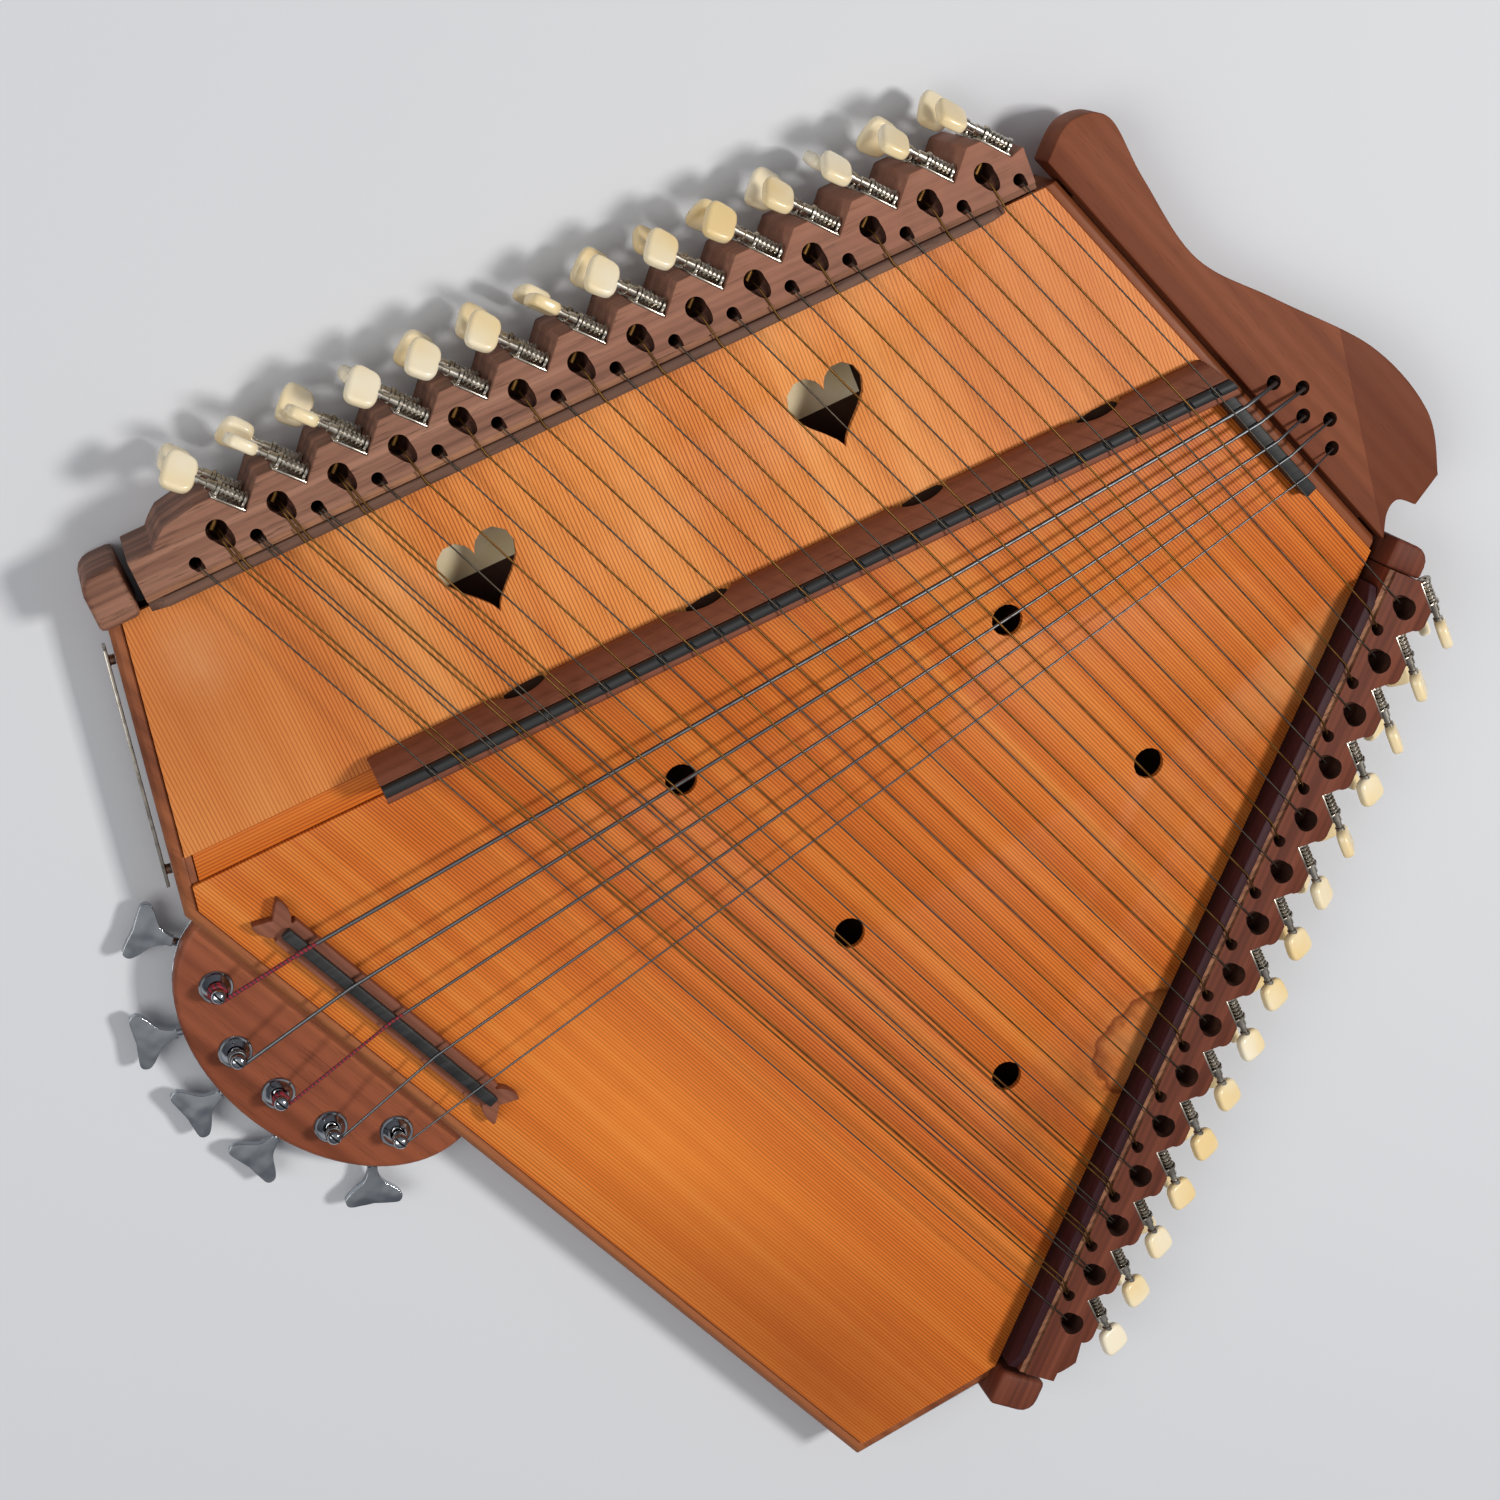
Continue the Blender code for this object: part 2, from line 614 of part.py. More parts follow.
def build_rail(side):
    name = "left_pin_rail" if side == LEFT else "right_pin_rail"
    rail = shape(name, prism(rail_outline(side), 0.0, RAIL_TOP), ROSEWOOD)
    added, cut = [shape("ledge", prism(ledge_outline(side), 0.0, BOARD_BASE - FIT))], []
    for k in range(teeth(side)):
        middle, along, outward = tuner_frame(side, k)
        axes = (along, outward, UP)
        upper = middle + UP * (RAIL_TOP - UPPER_DROP)
        lower = upper - UP * ROW_STEP
        plate = block(upper + outward * (PLATE_T - SINK) / 2, axes, (PLATE_L, PLATE_T + SINK, PLATE_H - SINK))
        added.append(shape("plate", plate))
        ear_out = WORM_OUT + EAR_W / 2
        for at in (EAR_AT, -EAR_AT):
            centre = upper + along * at + outward * (ear_out / 2 + SINK / 2)
            added.append(shape("ear", block(centre, axes, (EAR_T, ear_out - SINK, EAR_W))))
        bore = upper + outward * WORM_OUT + along * (EAR_AT - EAR_T)
        cut.append(shape("bore", pin(bore, along, SHAFT_R + RUN_FIT, EAR_T * 2, EAR_SIDES)))
        knob = plain_knob_rings(lower + outward * (WORM_R - SINK), along, outward, UP, LOWER_SIDES)
        added.append(shape("lower", skin(knob)))
        hole = Vector((*on_rail(side, k * PITCH, 0), RAIL_TOP))
        drill = pin(hole - UP * BIG_HOLE_DEPTH, UP, BIG_HOLE_R, BIG_HOLE_DEPTH + FIT, BIG_HOLE_SIDES)
        cut.append(shape("big", drill))
        cut.append(shape("scoop", turned(hole, -side * X, ((0, SCOOP_R), (SCOOP_LENGTH, SINK)), SCOOP_SIDES)))
    smalls = range(teeth(side) + 1) if side == LEFT else range(teeth(side) - 1)
    for k in smalls:
        s = (k - 0.5) * PITCH if side == LEFT else (k + 0.5) * PITCH
        hole = Vector((*on_rail(side, s, SMALL_HOLE_IN), RAIL_TOP))
        drill = pin(hole - UP * SMALL_HOLE_DEPTH, UP, SMALL_HOLE_R, SMALL_HOLE_DEPTH + FIT, SMALL_HOLE_SIDES)
        cut.append(shape("small", drill))
    combine(rail, "UNION", added)
    combine(rail, "DIFFERENCE", cut)
    return rail


for rail_side in (LEFT, RIGHT):
    build_rail(rail_side)


# Turning knobs of the upper row: worm, shaft, collar and button in one piece, origin on the shaft's axis
def build_knob(side, k):
    middle, along, outward = tuner_frame(side, k)
    name = f"{'left' if side == LEFT else 'right'}_tuner_knob_{k + 1:02d}"
    base = middle + UP * (RAIL_TOP - UPPER_DROP) + outward * WORM_OUT
    edge_on = EDGE_ON_LEFT if side == LEFT else EDGE_ON_RIGHT
    across, up = (UP, -outward) if k in edge_on else (outward, UP)
    smooth(shape(name, skin(knob_rings(base, along, across, up, KNOB_SIDES)), IVOROID, base))


for rail_side in (LEFT, RIGHT):
    for tooth in range(teeth(rail_side)):
        build_knob(rail_side, tooth)


# Nuts: strips standing on the rail's ledge, flush with its top
def nut(name, side):
    front = LEFT_FRONT_RUN if side == LEFT else RIGHT_FRONT_RUN
    back = LEFT_BACK_RUN if side == LEFT else RIGHT_BACK_RUN
    ends = (-front, (teeth(side) - 1) * PITCH + min(back, LEDGE_BACK))
    low, high = BOARD_BASE, RAIL_TOP
    profile = ((ends[0], low), (ends[1], low), (ends[1], high - NUT_END_DROP), (ends[1] - NUT_END_RUN, high),
               (ends[0] + NUT_END_RUN, high), (ends[0], high - NUT_END_DROP))
    faces = [[(*on_rail(side, s, t), z) for s, z in profile] for t in (RAIL_IN + FIT, NUT_IN)]
    shape(name, skin(faces), EBONY if side == RIGHT else ROSEWOOD)


nut("left_nut", LEFT)
nut("right_nut", RIGHT)


# End blocks, rounded on the outside
def end_block(name, side, start, length, inner):
    step = math.copysign(1, length)
    far = start + length
    turn = [(far - step * BLOCK_ROUND * (1 - math.sin(a)), BLOCK_ROUND * (1 - math.cos(a)) - NECK_OUT)
            for a in (math.pi / 2 * i / (BLOCK_STEPS - 1) for i in range(BLOCK_STEPS))]
    edge = [(start, inner), (start, -NECK_OUT)] + turn + [(far, inner)]
    shape(name, prism([on_rail(side, s, t) for s, t in edge], 0.0, BLOCK_TOP), ROSEWOOD)


end_block("left_front_block", LEFT, BLOCK_LENGTH - LEFT_BLOCK_END, -BLOCK_LENGTH, NUT_IN)
end_block("right_front_block", RIGHT, BLOCK_LENGTH - RIGHT_BLOCK_END, -BLOCK_LENGTH, NUT_IN)
right_rail_end = (RIGHT_TEETH - 1) * PITCH + RIGHT_BACK_RUN
end_block("right_back_block", RIGHT, right_rail_end + FIT, BACK_BLOCK_LENGTH, RAIL_IN)

# Treble bridge: sloped towards the rail, stepped foot on board and brace, groove for the saddle
BRIDGE_OUT = BRIDGE_IN + BRIDGE_W
SADDLE_NEAR = BRIDGE_IN + SADDLE_IN
SADDLE_FAR = SADDLE_NEAR + SADDLE_W
SEAT_Z = BRIDGE_TOP - SADDLE_SEAT
FOOT_Z = BOARD_TOP + FIT
BRIDGE_BACK_Y = BOARD_BACK_Y - FIT
bridge_profile = ((BRIDGE_IN, FOOT_Z), (BRACE_IN + FIT, FOOT_Z), (BRACE_IN + FIT, FOOT_Z - BRACE_DROP),
                  (BRIDGE_OUT, FOOT_Z - BRACE_DROP), (BRIDGE_OUT, BRIDGE_TOP - BRIDGE_BEVEL),
                  (SADDLE_FAR + FIT, BRIDGE_TOP), (SADDLE_FAR + FIT, SEAT_Z), (SADDLE_NEAR - FIT, SEAT_Z),
                  (SADDLE_NEAR - FIT, BRIDGE_TOP), (BRIDGE_IN + BRIDGE_BATTER, BRIDGE_TOP - BRIDGE_COVE),
                  (BRIDGE_IN, BRIDGE_FOOT_TOP))


def bridge_ends(profile, front_s):
    front = [(*on_rail(LEFT, front_s, t), z) for t, z in profile]
    back = [(*rail_at_y(LEFT, BRIDGE_BACK_Y, t), z) for t, z in profile]
    return skin([front, back])


bridge = shape("treble_bridge", bridge_ends(bridge_profile, BRIDGE_FRONT), MAHOGANY)
arches = []
for place in (-ARCH_FAR, -ARCH_NEAR, ARCH_NEAR, ARCH_FAR):
    arch = [(ARCH_CENTRE + place + ARCH_W / 2 * math.cos(a), ARCH_H * math.sin(a))
            for a in (math.pi * i / ARCH_STEPS for i in range(ARCH_STEPS + 1))]
    arch += [(ARCH_CENTRE + place - ARCH_W / 2, -ARCH_H), (ARCH_CENTRE + place + ARCH_W / 2, -ARCH_H)]
    faces = [[(*on_rail(LEFT, s, t), FOOT_Z + z) for s, z in arch]
             for t in (BRIDGE_IN - ARCH_DEPTH, BRIDGE_IN + ARCH_DEPTH)]
    arches.append(shape("arch", skin(faces)))
combine(bridge, "DIFFERENCE", arches)

# Treble saddle with the strings of every course lying in its slots
saddle_z = SEAT_Z + FIT
saddle_profile = ((SADDLE_NEAR, saddle_z), (SADDLE_FAR, saddle_z), (SADDLE_FAR, SADDLE_TOP - SADDLE_CROWN),
                  (SADDLE_FAR - SADDLE_CROWN, SADDLE_TOP), (SADDLE_NEAR + SADDLE_CROWN, SADDLE_TOP),
                  (SADDLE_NEAR, SADDLE_TOP - SADDLE_CROWN))
saddle = shape("treble_saddle", bridge_ends(saddle_profile, BRIDGE_FRONT + FIT), EBONY)


def hole_of(side, course):
    half, odd = divmod(course, 2)
    big = bool(odd) if side == LEFT else not odd
    if big:
        return Vector(on_rail(side, half * PITCH, 0)), BIG_HOLE_R, BIG_HOLE_DEPTH
    s = (half + (-0.5 if side == LEFT else 0.5)) * PITCH
    return Vector(on_rail(side, s, SMALL_HOLE_IN)), SMALL_HOLE_R, SMALL_HOLE_DEPTH


def string_half(side, course, y, spread):
    hole, radius, depth = hole_of(side, course)
    hole.y += spread / 2
    nut_point = Vector(rail_at_y(side, y + spread, (RAIL_IN + NUT_IN) / 2))
    rim_point = hole + (nut_point - hole).normalized() * (radius - STRING_R * 3)
    return [hole.to_3d() + UP * (RAIL_TOP - depth + FIT + STRING_R), rim_point.to_3d() + UP * STRING_Z,
            nut_point.to_3d() + UP * STRING_Z]


strings = []
for course in range(LEFT_TEETH + RIGHT_TEETH):
    course_y = RIGHT_HOLE_Y + course * COURSE_STEP
    for spread in ((-PAIR_STEP / 2, PAIR_STEP / 2) if course in PAIRED_COURSES else (0.0,)):
        crest_y = course_y + spread
        crest = Vector((rail_at_y(LEFT, crest_y, (SADDLE_NEAR + SADDLE_FAR) / 2)[0], crest_y, SADDLE_TOP))
        route = string_half(LEFT, course, course_y, spread) + [crest]
        route += list(reversed(string_half(RIGHT, course, course_y, spread)))
        strings.append(shape("string", tube(route, STRING_R, STRING_SIDES)))
combine(saddle, "UNION", strings)

# Wing behind the body, with the holes that hold the bass strings' ends
wing_y = BACK_Y + WING_GAP
back_x = (LEFT_BACK[0] + RIGHT_BACK[0]) / 2
back_half = (RIGHT_BACK[0] - LEFT_BACK[0]) / 2
wing_edge = []
for curve in (zip(WING_SHARES, WING_DEPTHS), zip(NOTCH_SHARES, NOTCH_DEPTHS)):
    wing_edge += rounded([(back_x + share * back_half, wing_y + depth) for share, depth in curve], WING_STEPS)
wing = shape("wing_plate", prism(list(reversed(wing_edge)), WING_TOP - WING_T, WING_TOP), MAHOGANY)
tongue_centre = Vector((back_x, (BACK_Y + FIT + wing_y + SINK) / 2, WING_TONGUE_Z))
tongue_size = (2 * (back_half - WING_TONGUE_INSET), WING_GAP + SINK - FIT, WING_TONGUE_H)
combine(wing, "UNION", [shape("tongue", block(tongue_centre, (X, Y, UP), tongue_size))])

# The bass nut fills its share of the room between bridge and right rail, the anchor holes stand behind it
bridge_end = rail_at_y(LEFT, BRIDGE_BACK_Y, BRIDGE_OUT)[0]
BASS_NUT_L = BASS_NUT_SHARE * (RIGHT_BACK[0] - bridge_end)
BASS_NUT_X = bridge_end + BASS_NUT_GAP + BASS_NUT_L / 2
anchors = [Vector((BASS_NUT_X + share * BASS_NUT_L, wing_y + depth, WING_TOP))
           for share, depth in zip(ANCHOR_SHARES, ANCHOR_DEPTHS)]
drills = [pin(p - UP * (WING_T + FIT), UP, ANCHOR_R, WING_T + FIT * 2, ANCHOR_SIDES) for p in anchors]
combine(wing, "DIFFERENCE", [shape("anchor", drill) for drill in drills])

# Bass head: a half-round shelf on the front, with bushings above and bearing lugs below
head_y = FRONT_Y - FIT
head_edge = [(HEAD_X - HEAD_HALF * math.cos(a), head_y - HEAD_REACH * math.sin(a))
             for a in (math.pi * i / HEAD_STEPS for i in range(HEAD_STEPS + 1))]
HEAD_BASE = HEAD_TOP - HEAD_T
head = shape("bass_head", prism(head_edge, HEAD_BASE, HEAD_TOP), MAHOGANY)
posts = [Vector((HEAD_X + a * HEAD_HALF, head_y - b * HEAD_REACH, 0)) for a, b in POST_SHARES]


def key_axis(index):
    along = Vector((math.cos(KEY_TURN[index]), math.sin(KEY_TURN[index]), 0))
    return posts[index] + Vector((along.y, -along.x, 0)) * WORM_OFFSET + UP * KEY_Z, along


added, cut = [], []
for index, post in enumerate(posts):
    base, along = key_axis(index)
    across = along.cross(UP)
    added.append(shape("bushing", pin(post + UP * (HEAD_TOP - SINK), UP, BUSH_R, BUSH_H + SINK, POST_SIDES)))
    bore_l = HEAD_T + BUSH_H + FIT * 2
    bore = pin(post + UP * (HEAD_BASE - FIT), UP, POST_SHANK_R + RUN_FIT, bore_l, POST_SIDES)
    cut.append(shape("bore", bore))
    lug_low = KEY_Z - KEY_SHAFT_R - RUN_FIT - LUG_WALL
    lug_high = HEAD_BASE + SINK
    lug = base + along * LUG_AT
    lug.z = (lug_low + lug_high) / 2
    lug_size = (LUG_T, (KEY_SHAFT_R + RUN_FIT + LUG_WALL) * 2, lug_high - lug_low)
    added.append(shape("lug", block(lug, (along, across, UP), lug_size)))
    bore = pin(base + along * (LUG_AT - LUG_T), along, KEY_SHAFT_R + RUN_FIT, LUG_T * 2, KEY_SIDES)
    cut.append(shape("lug_bore", bore))
combine(head, "UNION", added)
combine(head, "DIFFERENCE", cut)

# Bass posts with their worm wheels, and the keys that drive them
POST_TOP = HEAD_TOP + BUSH_H + POST_RISE
for index, post in enumerate(posts):
    shoulder = HEAD_TOP + BUSH_H + FIT
    wheel = KEY_Z - WHEEL_T / 2
    profile = ((wheel, WHEEL_R), (wheel + WHEEL_T, WHEEL_R), (wheel + WHEEL_T, POST_SHANK_R),
               (shoulder, POST_SHANK_R), (shoulder, POST_R), (POST_TOP, POST_R), (POST_TOP, POST_CAP_R),
               (POST_TOP + POST_CAP_T, POST_CAP_R))
    smooth(shape(f"bass_post_{index + 1}", turned(post, UP, profile, POST_SIDES), CHROME, post))

    base, along = key_axis(index)
    across = along.cross(UP)
    worm_end = LUG_AT - LUG_T / 2 - FIT
    collar = LUG_AT + LUG_T / 2 + FIT
    profile = ((-worm_end, BASS_WORM_R), (worm_end, BASS_WORM_R), (worm_end, KEY_SHAFT_R),
               (collar, KEY_SHAFT_R), (collar, BASS_WORM_R), (KEY_AT, KEY_SHAFT_R),
               (KEY_AT + KEY_SHAFT_R, KEY_SHAFT_R))
    half = [(x * KEY_L, w * KEY_W / 2) for x, w in KEY_FORM]
    outline = rounded(half, KEY_STEPS)
    outline += [Vector((p.x, -p.y)) for p in reversed(outline[:-1])]
    flat = [base + along * (KEY_AT + p.x) + across * p.y for p in outline]
    faces = [[p + UP * z for p in flat] for z in (-KEY_T / 2, KEY_T / 2)]
    key = smooth(shape(f"bass_key_{index + 1}", turned(base, along, profile, KEY_SIDES), CHROME, base))
    combine(key, "UNION", [shape("paddle", skin(faces))])

# Bass bridge with leaf ends, its saddle and the five wound strings
bass_y = FRONT_Y + BASS_BRIDGE_BACK
root = BASS_BRIDGE_L / 2
leaf = [(root - LEAF_L, BASS_BRIDGE_W / 2)] + [(root + a * LEAF_L, b * LEAF_W / 2) for a, b in LEAF_SHARES]
half_edge = [(x, -y) for x, y in leaf[:-1]] + list(reversed(leaf))
bass_edge = half_edge + [(-x, -y) for x, y in half_edge]
bass_edge = [(BASS_BRIDGE_X + x, bass_y + y) for x, y in bass_edge]
bass_foot = BOARD_TOP + FIT
shape("bass_bridge", prism(bass_edge, bass_foot, bass_foot + BASS_BRIDGE_H), MAHOGANY)
bass_seat = bass_foot + BASS_BRIDGE_H + FIT
bass_crest = bass_seat + BASS_SADDLE_H
bass_bar = block(Vector((BASS_BRIDGE_X, bass_y, (bass_seat + bass_crest) / 2)), (X, Y, UP),
                 (BASS_SADDLE_L, BASS_SADDLE_W, BASS_SADDLE_H))
bass_saddle = shape("bass_saddle", bass_bar, EBONY)
nut_y = BACK_Y - BASS_NUT_BACK
nut_crest = BOARD_TOP + FIT + BASS_NUT_H
shape("bass_nut", block(Vector((BASS_NUT_X, nut_y, BOARD_TOP + FIT + BASS_NUT_H / 2)), (X, Y, UP),
                        (BASS_NUT_L, BASS_NUT_W, BASS_NUT_H)), EBONY)


def winding(post, target, radius):
    reach = (target - post).xy
    round_r = POST_R + FIT + radius
    rise = 2 * radius + TURN_GAP
    leave = math.atan2(reach.y, reach.x) - math.acos(round_r / reach.length)
    top = POST_TOP - radius - TURN_GAP
    points = []
    for i in range(TURNS * TURN_POINTS + 1):
        back = TURNS - i / TURN_POINTS
        angle = leave - 2 * math.pi * back
        around = Vector((math.cos(angle), math.sin(angle), 0)) * round_r
        points.append(Vector((post.x, post.y, top - rise * back)) + around)
    heading = (points[1] - points[0]).normalized()
    return [points[0] - heading * (2 * radius)] + points


def least_gap(points, apart, radius):
    pairs = [(a, b) for i, a in enumerate(points) for b in points[i + apart:]]
    return min((a - b).length for a, b in pairs) - 2 * radius


strings = []
for index, post in enumerate(posts):
    crest = Vector((BASS_BRIDGE_X + BASS_CROSSINGS[index], bass_y, bass_crest))
    anchor, radius = anchors[index], BASS_STRING_R[index]
    over = crest.lerp(anchor, (nut_y + BASS_NUT_W / 2 + radius - bass_y) / (anchor.y - bass_y))
    over.z = nut_crest + FIT + radius
    coil = winding(post, crest, radius)
    print(f"bass string {index + 1}: least gap {least_gap(coil, TURN_POINTS // 2, radius) * 1000:.2f} mm")
    route = coil + [crest, over, anchor + UP * (2 * radius), anchor - UP * (WING_T - 2 * radius)]
    strings.append(shape("bass_string", tube(route, radius, BASS_STRING_SIDES)))
combine(bass_saddle, "UNION", strings)

# Metal strip standing off the cut corner on two studs
corner_a, corner_b = Vector((*LEFT_FRONT, 0)), Vector((FRONT_LEFT_X, FRONT_Y, 0))
run = (corner_b - corner_a).normalized()
out = run.cross(UP)
centre = (corner_a + corner_b) / 2 + UP * (BACK_T + RIM_TOP) / 2
strip_l = (corner_b - corner_a).length - 2 * STRIP_END
flat = block(centre + out * (STRIP_STUD_L + STRIP_T / 2), (run, out, UP), (strip_l, STRIP_T, STRIP_H))
strip = shape("side_plate", flat, NICKEL)
studs = []
for end in (-1, 1):
    base = centre + run * (end * (strip_l - STRIP_H) / 2) + out * FIT
    studs.append(shape("stud", pin(base, out, STRIP_STUD_R, STRIP_STUD_L + SINK - FIT, STRIP_STUD_SIDES)))
combine(strip, "UNION", studs)
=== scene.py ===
import json
import math
import bpy
from mathutils import Matrix, Vector


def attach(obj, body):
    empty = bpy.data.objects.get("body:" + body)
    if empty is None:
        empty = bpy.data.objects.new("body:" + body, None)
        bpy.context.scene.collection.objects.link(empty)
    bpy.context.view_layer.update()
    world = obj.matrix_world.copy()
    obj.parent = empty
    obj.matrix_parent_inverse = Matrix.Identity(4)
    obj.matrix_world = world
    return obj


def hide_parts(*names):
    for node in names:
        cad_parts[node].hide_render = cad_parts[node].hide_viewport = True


# Hammered dulcimer lying on its back: woods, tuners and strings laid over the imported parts
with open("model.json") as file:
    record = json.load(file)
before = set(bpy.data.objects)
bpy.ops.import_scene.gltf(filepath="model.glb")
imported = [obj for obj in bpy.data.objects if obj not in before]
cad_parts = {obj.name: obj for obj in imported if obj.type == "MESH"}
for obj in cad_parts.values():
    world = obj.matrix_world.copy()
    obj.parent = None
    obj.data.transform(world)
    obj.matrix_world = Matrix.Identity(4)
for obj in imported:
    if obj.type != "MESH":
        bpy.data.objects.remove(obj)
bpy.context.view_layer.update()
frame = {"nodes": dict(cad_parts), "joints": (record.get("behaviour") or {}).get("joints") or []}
bpy.context.scene.view_settings.view_transform = "Standard"

# Where things lie in plan, in metres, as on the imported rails
plan = {"pitch": 0.035, "railAngle": math.radians(67.84), "halfSpan": 0.3685, "firstHoleY": -0.1392,
        "smallHoleIn": 0.01125, "railTop": 0.062, "railIn": 0.0202, "nutIn": 0.0264, "boardTop": 0.042,
        "teeth": {-1: 14, 1: 15}, "backPanelTop": 0.004}
railCos, railSin = math.cos(plan["railAngle"]), math.sin(plan["railAngle"])
courseStep = plan["pitch"] * railSin / 2
rightHoleY = plan["firstHoleY"] - courseStep - plan["smallHoleIn"] * railCos
firstY = {-1: plan["firstHoleY"], 1: rightHoleY}
up = Vector((0, 0, 1))


def onRail(side, s, t):  # s along the holes, t in towards the boards
    return Vector((side * (plan["halfSpan"] - s * railCos - t * railSin), firstY[side] + s * railSin - t * railCos, 0))


def onRailAtY(side, y, t):
    return onRail(side, (y - firstY[side] + t * railCos) / railSin, t)


# Small tools for modelling
def freshStart():
    if bpy.context.mode != "OBJECT":
        bpy.ops.object.mode_set(mode="OBJECT")
    bpy.ops.object.select_all(action="DESELECT")


def pick(*things):
    freshStart()
    for thing in things:
        thing.select_set(True)
    bpy.context.view_layer.objects.active = things[0]
    return things[0]


def drawn(name, points, faces=(), edges=()):  # a mesh drawn point by point
    mesh = bpy.data.meshes.new(name)
    mesh.from_pydata([tuple(p) for p in points], edges, faces)
    piece = bpy.data.objects.new(name, mesh)
    bpy.context.scene.collection.objects.link(piece)
    return pick(piece)


def extruded(name, outline, low, high):
    piece = drawn(name, [(p[0], p[1], low) for p in outline], [list(range(len(outline)))])
    bpy.ops.object.mode_set(mode="EDIT")
    bpy.ops.mesh.select_all(action="SELECT")
    bpy.ops.mesh.extrude_region_move(TRANSFORM_OT_translate={"value": (0, 0, high - low)})
    bpy.ops.mesh.select_all(action="SELECT")
    bpy.ops.mesh.normals_make_consistent(inside=False)
    bpy.ops.object.mode_set(mode="OBJECT")
    return piece


def lathed(name, profile, steps):  # profile of (along X, radius), spun about X
    points = [(a, 0, r) for a, r in profile]
    piece = drawn(name, points, edges=[(i, i + 1) for i in range(len(points) - 1)])
    bpy.ops.object.mode_set(mode="EDIT")
    bpy.ops.mesh.select_all(action="SELECT")
    bpy.ops.mesh.spin(steps=steps, angle=2 * math.pi, center=(0, 0, 0), axis=(1, 0, 0))
    bpy.ops.mesh.select_all(action="SELECT")
    bpy.ops.mesh.remove_doubles(threshold=0.00001)
    bpy.ops.mesh.normals_make_consistent(inside=False)
    bpy.ops.object.mode_set(mode="OBJECT")
    return piece


def modified(piece, kind, **settings):
    pick(piece)
    change = piece.modifiers.new(kind.lower(), kind)
    for key, value in settings.items():
        setattr(change, key, value)
    bpy.ops.object.modifier_apply(modifier=change.name)
    return piece


def softEdges(piece, width, segments=2, angle=40):
    modified(piece, "BEVEL", width=width, segments=segments, limit_method="ANGLE", angle_limit=math.radians(angle),
             harden_normals=False)
    pick(piece)
    bpy.ops.object.shade_smooth_by_angle(angle=math.radians(35))
    return piece


def joined(name, pieces):
    pick(*pieces)
    bpy.ops.object.join()
    whole = bpy.context.view_layer.objects.active
    whole.name = name
    return whole


def cutAway(piece, cutters, rawFace=None):  # cut faces can show a wood of their own
    tool = joined("cutter", cutters)
    if rawFace:
        tool.data.materials.append(rawFace)
    modified(piece, "BOOLEAN", operation="DIFFERENCE", object=tool, solver="EXACT", use_self=True, material_mode="TRANSFER")
    bpy.data.objects.remove(tool, do_unlink=True)
    return piece


def copyOfPart(node, name):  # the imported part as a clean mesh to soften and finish
    source = frame["nodes"][node]
    piece = bpy.data.objects.new(name, source.data.copy())
    bpy.context.scene.collection.objects.link(piece)
    pick(piece)
    piece.data.materials.clear()
    bpy.ops.object.mode_set(mode="EDIT")
    bpy.ops.mesh.select_all(action="SELECT")
    bpy.ops.mesh.remove_doubles(threshold=0.00002)
    bpy.ops.mesh.dissolve_limited(angle_limit=math.radians(1))
    bpy.ops.object.mode_set(mode="OBJECT")
    return piece


def placed(piece, place):  # puts the turn and place into the mesh
    piece.data.transform(place)
    piece.matrix_world = Matrix.Identity(4)
    return piece


def copied(piece, name, place):
    twin = bpy.data.objects.new(name, piece.data.copy())
    bpy.context.scene.collection.objects.link(twin)
    return placed(twin, place)


def dressed(piece, material, body="body", *nodes):
    if not piece.data.materials:
        piece.data.materials.append(material)
    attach(piece, body)
    if nodes:
        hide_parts(*nodes)
    return piece


def smoothLine(points, steps):  # a line curving through every point
    line = [Vector(p) for p in points]
    curve = []
    for i in range(len(line) - 1):
        before, start, end, after = line[max(i - 1, 0)], line[i], line[i + 1], line[min(i + 2, len(line) - 1)]
        for k in range(steps):
            u = k / steps
            curve.append((start * 2 + (end - before) * u + (before * 2 - start * 5 + end * 4 - after) * u ** 2
                          + (start * 3 - before - end * 3 + after) * u ** 3) / 2)
    return curve + [line[-1]]


def strung(name, routes, radius, sides=2):  # round strings along straight or curving routes
    curve = bpy.data.curves.new(name, "CURVE")
    curve.dimensions = "3D"
    curve.bevel_depth = radius
    curve.bevel_resolution = sides
    curve.use_fill_caps = True
    for route in routes:
        line = curve.splines.new("POLY")
        line.points.add(len(route) - 1)
        for point, place in zip(line.points, route):
            point.co = (*place, 1)
    thread = bpy.data.objects.new(name, curve)
    bpy.context.scene.collection.objects.link(thread)
    pick(thread)
    bpy.ops.object.convert(target="MESH")
    bpy.ops.object.shade_smooth()
    return bpy.context.view_layer.objects.active


# Materials
def linear(hexColour):
    parts = [int(hexColour[i:i + 2], 16) / 255 for i in (1, 3, 5)]
    return (*[p / 12.92 if p < 0.04045 else ((p + 0.055) / 1.055) ** 2.4 for p in parts], 1)


def addNode(tree, kind, settings=None, links=None):  # settings by socket or property name, links as socket to socket
    node = tree.nodes.new(kind)
    for key, value in (settings or {}).items():
        if isinstance(key, int) or key in node.inputs:
            node.inputs[key].default_value = value
        else:
            setattr(node, key, value)
    for key, source in (links or {}).items():
        tree.links.new(source, node.inputs[key])
    return node


def newMaterial(name):
    material = bpy.data.materials.new(name)
    material.use_nodes = True
    return material, material.node_tree, material.node_tree.nodes["Principled BSDF"]


def ramp(tree, source, stops):
    node = addNode(tree, "ShaderNodeValToRGB", links={"Fac": source})
    while len(node.color_ramp.elements) < len(stops):
        node.color_ramp.elements.new(0.5)
    for element, (place, hexColour) in zip(node.color_ramp.elements, stops):
        element.position = place
        element.color = linear(hexColour)
    return node


